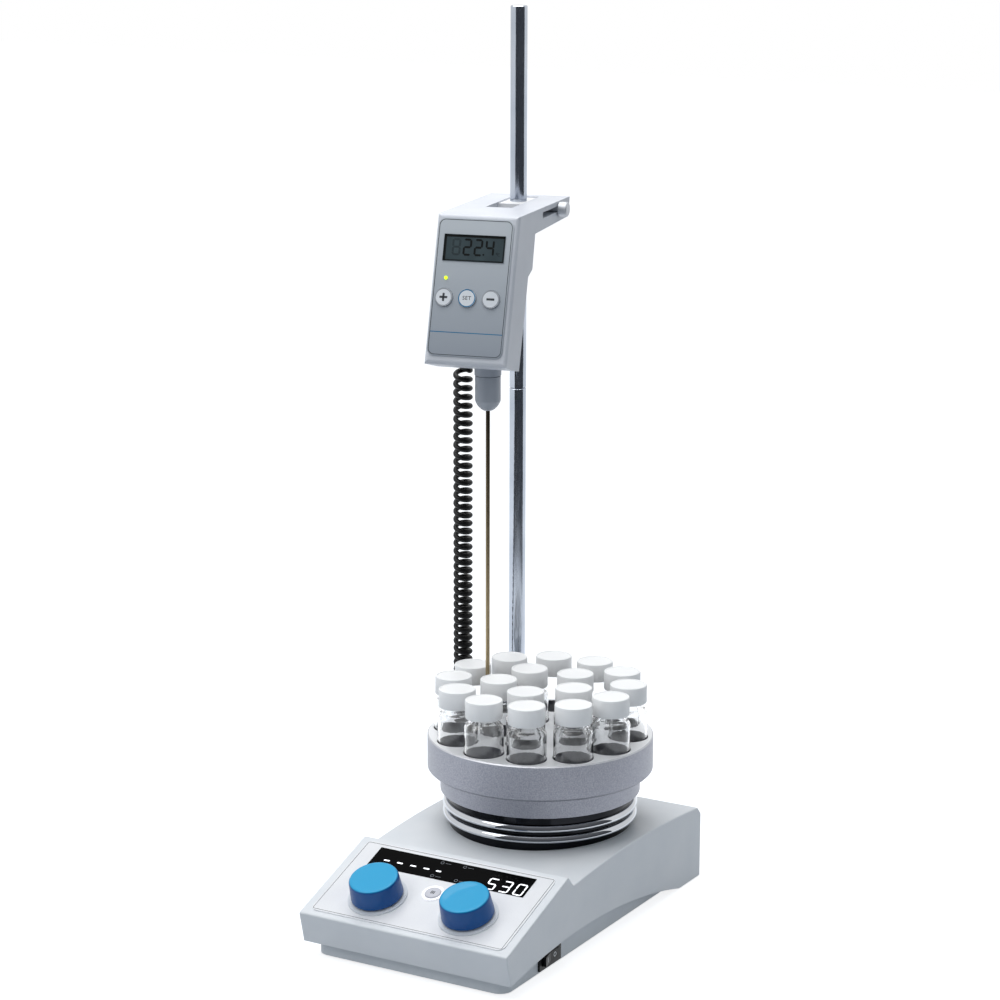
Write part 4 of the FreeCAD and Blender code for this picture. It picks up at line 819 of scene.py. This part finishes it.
@dataclass
class Controller:
    """The temperature controller's face: lines, crystal figures, key signs and the clamp knob's grip."""

    film_top: float = 0.8
    film_x: float = -0.8
    border_up: float = 53.25
    rule_up: float = 22.3
    glass_top: float = 1.3
    glass_spot: Pair = (-0.7, 80.4)
    figure_shape: Segments = field(default_factory=lambda: Segments(width=4.9, height=10.4, stroke=1.4))
    figure_up: float = 81.0
    figure_thick: float = 0.06
    reading: Sequence[tuple[str, float]] = (("2", -5.4), ("2", 2.5), ("4", 10.7))
    point_x: float = 6.5
    point_drop: float = 4.7
    unlit_x: float = -13.3
    unit_spot: Pair = (17.4, 76.6)
    key_top: float = 2.0
    key_up: float = 46.0
    key_x: dict[str, float] = field(default_factory=lambda: {"plus": -19.0, "set": -2.2, "minus": 14.7})
    rim_outer: float = 6.15
    rim_inner: float = 5.45
    grip_sides: int = 48
    grip_depth: float = 4.2
    grip_back: float = 3.3
    rib_height: float = 0.22

    def build(self) -> None:
        """Build every piece of the face and the grip."""
        self.lines()
        self.figures()
        self.key_signs()
        self.grip()

    def lines(self) -> None:
        """Print the dark frame line and the thin blue rule, and lay the crystal's dark edge with a painted
        inner shadow along its top and left.
        """
        border = flat_bar(52.4, 93.3, thick=PRINT_THICK, corner=4.4, steps=ROUND_STEPS,
                          line=0.45)
        keep(border, "face_frame_line", PRINT_DARK, "controller",
             at(FACE, self.film_x, self.border_up, self.film_top))
        rule = flat_bar(51.6, 0.6, thick=PRINT_THICK, corner=0.1)
        keep(rule, "face_blue_rule", PRINT_BLUE, "controller",
             at(FACE, self.film_x, self.rule_up, self.film_top))
        edge = flat_bar(43.4, 18.0, thick=MARK_THICK, corner=0.5, steps=ROUND_STEPS,
                        line=0.7)
        # The wider top and side bars are a painted inner shadow of the crystal; the thin line round it is its
        # dark edge.
        top = moved(flat_bar(43.2, 1.6, thick=MARK_THICK, corner=0.2), across=0, up=8.1)
        side = moved(flat_bar(1.7, 17.8, thick=MARK_THICK, corner=0.2), across=-20.8, up=0)
        keep(joined([edge, top, side]), "crystal_edge_and_shadow", DIGIT_DARK, "controller",
             at(FACE, *self.glass_spot, self.glass_top))

    def figures(self) -> None:
        """Show the reading in dark bars beside a pale unlit figure."""
        for index, (figure, across) in enumerate(self.reading, 1):
            keep(self.figure_shape.build(figure), "crystal_figure_%d" % index, DIGIT_DARK, "controller",
                 at(FACE, across, self.figure_up, self.glass_top))
        point = flat_bar(1.2, 1.2, thick=self.figure_thick, corner=0.3)
        keep(point, "crystal_point", DIGIT_DARK, "controller",
             at(FACE, self.point_x, self.figure_up - self.point_drop, self.glass_top))
        keep(self.figure_shape.build("8"), "crystal_unlit", DIGIT_GHOST, "controller",
             at(FACE, self.unlit_x, self.figure_up, self.glass_top))
        degree = moved(flat_ring(outer=0.6, inner=0.35, thick=self.figure_thick, sides=20), across=-1.5, up=0.9)
        unit = joined([lettering("C", size=2.6, thick=self.figure_thick), degree])
        keep(unit, "crystal_unit", DIGIT_DARK, "controller", at(FACE, *self.unit_spot, self.glass_top))

    def key_signs(self) -> None:
        """Print the signs and rims of the three keys."""
        across, upright, lying = (flat_bar(width, height, thick=MARK_THICK, corner=0.1)
                                  for width, height in ((5.6, 1.5), (1.5, 5.6), (5.6, 1.5)))
        word = lettering("SET", size=3.7, thick=MARK_THICK, weight=0.04)
        keys = {"plus": (joined([across, upright]), PRINT_GREY), "set": (word, PRINT_BLUE),
                "minus": (lying, PRINT_GREY)}
        for key, (sign, rim_finish) in keys.items():
            body = key + "_button"
            spot = at(FACE, self.key_x[key], self.key_up, self.key_top)
            keep(sign, key + "_sign", PRINT_DARK, body, spot)
            keep(flat_ring(self.rim_outer, self.rim_inner, PRINT_THICK), key + "_rim", rim_finish, body, spot)

    def grip(self) -> None:
        """Cut straight ribs round the head of the clamp screw."""
        back = CONTROLLER.inverted()
        points = [back @ vertex.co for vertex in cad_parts["clamp_screw"].data.vertices]
        low, high = (Vector([pick(point[axis] for point in points) for axis in range(3)])
                     for pick in (min, max))
        clear_selection()
        bpy.ops.mesh.primitive_cylinder_add(vertices=self.grip_sides, radius=(high.y - low.y) / 2,
                                            depth=self.grip_depth * MM)
        grip = bpy.context.object
        for face in grip.data.polygons:
            face.select = abs(face.normal.z) < WALL_SLOPE and face.index % 2 == 0
        with editing(grip, picked_faces=True):
            ribs = {"value": self.rib_height * MM}
            bpy.ops.mesh.extrude_region_shrink_fatten(TRANSFORM_OT_shrink_fatten=ribs)
            close_up()
        middle = Vector((high.x - self.grip_back * MM, (low.y + high.y) / 2, (low.z + high.z) / 2))
        place = CONTROLLER @ Matrix.Translation(middle) @ Matrix.Rotation(math.pi / 2, 4, "Y")
        keep(grip, "clamp_grip", SCREW, "clamp_screw", place)


@dataclass
class RockerSigns:
    """The on and off signs of the power rocker."""

    side_x: float = 120.0
    height: float = 9.6
    on_y: float = -77.2
    off_y: float = -65.8

    def build(self) -> None:
        """Lay each sign on the rocker's own face."""
        stroke = flat_bar(0.7, 3.2, thick=MARK_THICK, corner=0.1)
        keep(stroke, "rocker_on_sign", MARK_WHITE, "power_rocker", self.spot(self.on_y))
        ring = flat_ring(outer=1.7, inner=1.1, thick=MARK_THICK, sides=32)
        keep(ring, "rocker_off_sign", MARK_WHITE, "power_rocker", self.spot(self.off_y))

    def spot(self, along: float) -> Matrix:
        """Return the place on the rocker's face at a distance along the base.

        Args:
            along: Y of the sign in millimetres.

        Returns:
            The place, with Z out of the face.
        """
        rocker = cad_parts["power_rocker"]
        start = Vector((self.side_x, along, self.height)) * MM
        found, point, normal, _ = rocker.ray_cast(start, Vector((-1, 0, 0)))
        if not found:
            raise ValueError("no rocker face at y = %.1f mm" % along)
        turn = normal.to_track_quat("Z", "Y").to_matrix().to_4x4()
        return Matrix.Translation(point) @ turn


@dataclass
class CurlyCord:
    """The curly cord from the controller's gland down to its plug behind the base."""

    top: Vector = field(default_factory=lambda: Vector((-64.6, 48.8, 377)))
    end: Vector = field(default_factory=lambda: Vector((-85.8, 83.9, 140)))
    coil_radius: float = 5.2
    turns: int = 39
    crowding: float = 0.09
    points_per_turn: int = 14
    wire: float = 1.8
    gland_z: float = 380.0
    gland_lead: float = 1.0
    run_out: float = 6.0
    tail_lead: float = 18.0
    sides: int = 12
    length: float = 1.514
    tail: Sequence[Triple] = ((-89, 104, 84), (-87, 131, 67), (-81, 160, 60), (-77, 188, 52), (-60, 204, 40),
                              (-45, 188, 32), (-45, 168, 32))

    def build(self) -> None:
        line = self.spline_points(self.route())
        piece = self.jacket(line)
        piece.data.materials.append(CORD.material())
        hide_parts("curly_cord", "cord_tail")
        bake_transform(piece)
        LOG.info("curly_cord_jacket bends between base and controller")

    def route(self) -> list[Vector]:
        """Return the control points: the straight lead, the curls and the free tail, in metres."""
        axis = (self.end - self.top).normalized()
        first = CONTROLLER.to_3x3() @ Vector((0, -1, 0))
        first = (first - axis * first.dot(axis)).normalized()
        second = first.cross(axis)
        gland = self.top + first * self.coil_radius
        gland.z = self.gland_z
        points = [gland, gland - Vector((0, 0, self.gland_lead))]
        reach = self.coil_radius / math.cos(math.pi / self.points_per_turn)
        count = self.turns * self.points_per_turn
        quarter = self.points_per_turn // 4
        for index in range(quarter, count - quarter + 1):
            angle = FULL_TURN * index / self.points_per_turn
            spoke = first * math.cos(angle) + second * math.sin(angle)
            share = index / count
            fall = share * (1 + self.crowding * (1 - share))
            points.append(self.top + (self.end - self.top) * fall + spoke * reach)
        leaving = self.end + axis * self.run_out + first * self.coil_radius
        turn_end = 2 * self.wire
        points += [leaving, leaving + axis * turn_end, leaving + axis * (turn_end + self.tail_lead)]
        points += [Vector(point) for point in self.tail]
        return [point * MM for point in points]

    def spline_points(self, route: Sequence[Vector]) -> list[Vector]:
        """Return the points of the smooth line that the route controls.

        Args:
            route: The control points in metres.

        Returns:
            The points along the line, from the gland to the plug.
        """
        curve = bpy.data.curves.new("cord_line", "CURVE")
        curve.dimensions = "3D"
        curve.resolution_u = 3
        spline = curve.splines.new("NURBS")
        spline.points.add(len(route) - 1)
        for point, spot in zip(spline.points, route):
            point.co = (*spot, 1)
        spline.order_u = 3
        spline.use_endpoint_u = True
        holder = bpy.data.objects.new("cord_line", curve)
        bpy.context.scene.collection.objects.link(holder)
        bpy.context.view_layer.update()
        seen = holder.evaluated_get(bpy.context.evaluated_depsgraph_get())
        mesh = bpy.data.meshes.new_from_object(seen)
        line = [vertex.co.copy() for vertex in mesh.vertices]
        bpy.data.objects.remove(holder)
        bpy.data.meshes.remove(mesh)
        return line

    def jacket(self, line: Sequence[Vector]) -> Piece:
        """Sweep a round section along the line without twist.

        Args:
            line: The points to follow.

        Returns:
            The jacket as a closed tube.
        """
        points, faces = [], []
        side = Vector((1, 0, 0))
        for index, spot in enumerate(line):
            heading = (line[min(index + 1, len(line) - 1)] - line[max(index - 1, 0)]).normalized()
            side = (side - heading * side.dot(heading)).normalized()
            other = heading.cross(side)
            for step in range(self.sides):
                angle = FULL_TURN * step / self.sides
                points.append(spot + (side * math.cos(angle) + other * math.sin(angle)) * self.wire * MM)
        for index in range(len(line) - 1):
            near, far = index * self.sides, (index + 1) * self.sides
            for step in range(self.sides):
                after = (step + 1) % self.sides
                faces.append((near + step, near + after, far + after, far + step))
        last = (len(line) - 1) * self.sides
        faces.append(tuple(range(self.sides))[::-1])
        faces.append(tuple(range(last, last + self.sides)))
        mesh = bpy.data.meshes.new("curly_cord_jacket")
        mesh.from_pydata(points, [], faces)
        piece = bpy.data.objects.new("curly_cord_jacket", mesh)
        bpy.context.scene.collection.objects.link(piece)
        smooth(piece)
        return piece


@dataclass
class Studio:
    """The pale floor, the soft light and the camera."""

    eye: Vector = field(default_factory=lambda: Vector((979.7, -1690.0, 757.5)))
    target: Vector = field(default_factory=lambda: Vector((-16.95, 18.8, 293.8)))
    roll: float = math.radians(0.12)
    lens: float = 106.4
    sensor: float = 36.0
    clip: Pair = (0.05, 50)
    ambient: float = 0.45
    sky_colour: Colour = (0.9, 0.96, 1.0)
    floor_size: float = 12
    floor_colour: Colour = (0.43, 0.46, 0.5)
    floor_lift: float = 0.82
    lamp_aim: Triple = (0, 0, 0.2)
    screen_radius: float = 0.75
    screen_height: float = 1.3
    screen_sides: int = 96
    screen_swing: float = math.radians(73)
    screen_shift: float = math.radians(20)
    screen_colour: Colour = (0.045, 0.048, 0.056)

    def build(self) -> None:
        """Set the camera, the sky, the floor, the lamps and the dark screen."""
        bpy.context.scene.view_settings.view_transform = "Standard"
        self.camera()
        self.sky()
        self.floor()
        self.lamp("top_light", spot=(-0.25, 0.1, 1.5), size=1.2, power=14)
        self.lamp("front_light", spot=(-0.8, -1.2, 1.6), size=1.0, power=8)
        self.screen()

    def camera(self) -> None:
        """Place the camera where the photograph was taken from."""
        back = (self.eye - self.target).normalized()
        right = (-back).cross(Vector((0, 0, 1))).normalized()
        up = right.cross(-back)
        across = right * math.cos(self.roll) + up * math.sin(self.roll)
        above = up * math.cos(self.roll) - right * math.sin(self.roll)
        data = bpy.data.cameras.new("photo_camera")
        data.lens, data.sensor_width = self.lens, self.sensor
        data.clip_start, data.clip_end = self.clip
        camera = bpy.data.objects.new("photo_camera", data)
        bpy.context.scene.collection.objects.link(camera)
        axes = Matrix((across, above, back)).transposed().to_4x4()
        camera.matrix_world = Matrix.Translation(self.eye * MM) @ axes
        bpy.context.scene.camera = camera

    def seen_straight(self, tree: Tree) -> Socket:
        """Add the test for rays that show the backdrop itself, in the picture, in metal or in glass.

        Args:
            tree: The node tree to add to.

        Returns:
            A socket that is 1 for such rays.
        """
        path = tree.nodes.new("ShaderNodeLightPath")
        found = path.outputs["Is Camera Ray"]
        for ray in ("Is Glossy Ray", "Is Transmission Ray"):
            found = add_node(tree, "Math", {0: found, 1: path.outputs[ray]}, operation="MAXIMUM").outputs[0]
        return found

    def sky(self) -> None:
        """Make a white backdrop that lights the object at a plain level."""
        world = bpy.data.worlds.new("studio")
        world.use_nodes = True
        bpy.context.scene.world = world
        tree = world.node_tree
        fill = tree.nodes["Background"]
        fill.inputs["Color"].default_value = (*self.sky_colour, 1)
        fill.inputs["Strength"].default_value = self.ambient
        white = add_node(tree, "Background", {"Color": (1, 1, 1, 1)})
        choose = add_node(tree, "MixShader", {0: self.seen_straight(tree), 1: fill.outputs[0],
                                              2: white.outputs[0]})
        tree.links.new(choose.outputs[0], tree.nodes["World Output"].inputs["Surface"])

    def floor(self) -> None:
        """Lay a pale floor that keeps the object's shadow."""
        clear_selection()
        bpy.ops.mesh.primitive_plane_add(size=self.floor_size)
        floor = bpy.context.object
        floor.name = "floor"
        made = bpy.data.materials.new("pale floor")
        made.use_nodes = True
        tree = made.node_tree
        shader = tree.nodes["Principled BSDF"]
        shader.inputs["Base Color"].default_value = (*self.floor_colour, 1)
        shader.inputs["Roughness"].default_value = 1
        level = add_node(tree, "Math", {0: self.seen_straight(tree), 1: self.floor_lift},
                         operation="MULTIPLY")
        lift = add_node(tree, "Emission", {"Strength": level.outputs[0]})
        both = add_node(tree, "AddShader", {0: shader.outputs[0], 1: lift.outputs[0]})
        tree.links.new(both.outputs[0], tree.nodes["Material Output"].inputs["Surface"])
        floor.data.materials.append(made)

    def lamp(self, name: str, spot: Sequence[float], size: float, power: float) -> None:
        """Add a soft square lamp.

        Args:
            name: Its name.
            spot: Its place in metres.
            size: Its side in metres.
            power: Its power in watts.
        """
        data = bpy.data.lights.new(name, "AREA")
        data.size, data.energy = size, power
        lamp = bpy.data.objects.new(name, data)
        bpy.context.scene.collection.objects.link(lamp)
        lamp.location = spot
        lamp.rotation_euler = (Vector(spot) - Vector(self.lamp_aim)).to_track_quat("Z", "Y").to_euler()

    def screen(self) -> None:
        """Bend a dark screen round the front that only polished metal shows."""
        facing = math.atan2(self.eye.y - self.target.y, self.eye.x - self.target.x)
        clear_selection()
        bpy.ops.mesh.primitive_circle_add(vertices=self.screen_sides, radius=self.screen_radius)
        screen = bpy.context.object
        screen.name = "dark_screen"
        for vertex in screen.data.vertices:
            turn = math.atan2(vertex.co.y, vertex.co.x) - facing - self.screen_shift
            vertex.select = math.cos(turn) < math.cos(self.screen_swing)
        for edge in screen.data.edges:
            edge.select = False
        bpy.context.view_layer.objects.active = screen
        bpy.ops.object.mode_set(mode="EDIT")
        bpy.ops.mesh.delete(type="VERT")
        bpy.ops.mesh.select_all(action="SELECT")
        bpy.ops.mesh.extrude_region_move(TRANSFORM_OT_translate={"value": (0, 0, self.screen_height)})
        bpy.ops.object.mode_set(mode="OBJECT")
        made = bpy.data.materials.new("dark screen")
        made.use_nodes = True
        made.node_tree.nodes["Principled BSDF"].inputs["Base Color"].default_value = (*self.screen_colour, 1)
        screen.data.materials.append(made)
        screen.visible_camera = False
        screen.visible_diffuse = False
        screen.visible_shadow = False
        screen.visible_transmission = False


def dress_solids() -> None:
    """Give every CAD node its finish."""
    for finish, names in NODE_FINISHES.items():
        for name in names:
            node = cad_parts[name]
            if not node.data.materials:
                node.data.materials.append(finish.material())
            for slot in node.material_slots:
                slot.material = finish.material()
    bare = set(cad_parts) - {name for names in NODE_FINISHES.values() for name in names}
    if bare:
        raise ValueError("no finish for %s" % sorted(bare))


def main() -> None:
    """Build the studio and every sub-assembly in order."""
    logging.basicConfig(level=logging.INFO)
    Studio().build()
    dress_solids()
    for assembly in (CurlyCord(), ControlPanel(), PlateRings(), VialSet(), SupportRod(), Controller(),
                     RockerSigns()):
        LOG.info("building %s", type(assembly).__name__)
        assembly.build()


if __name__ == "__main__":
    main()
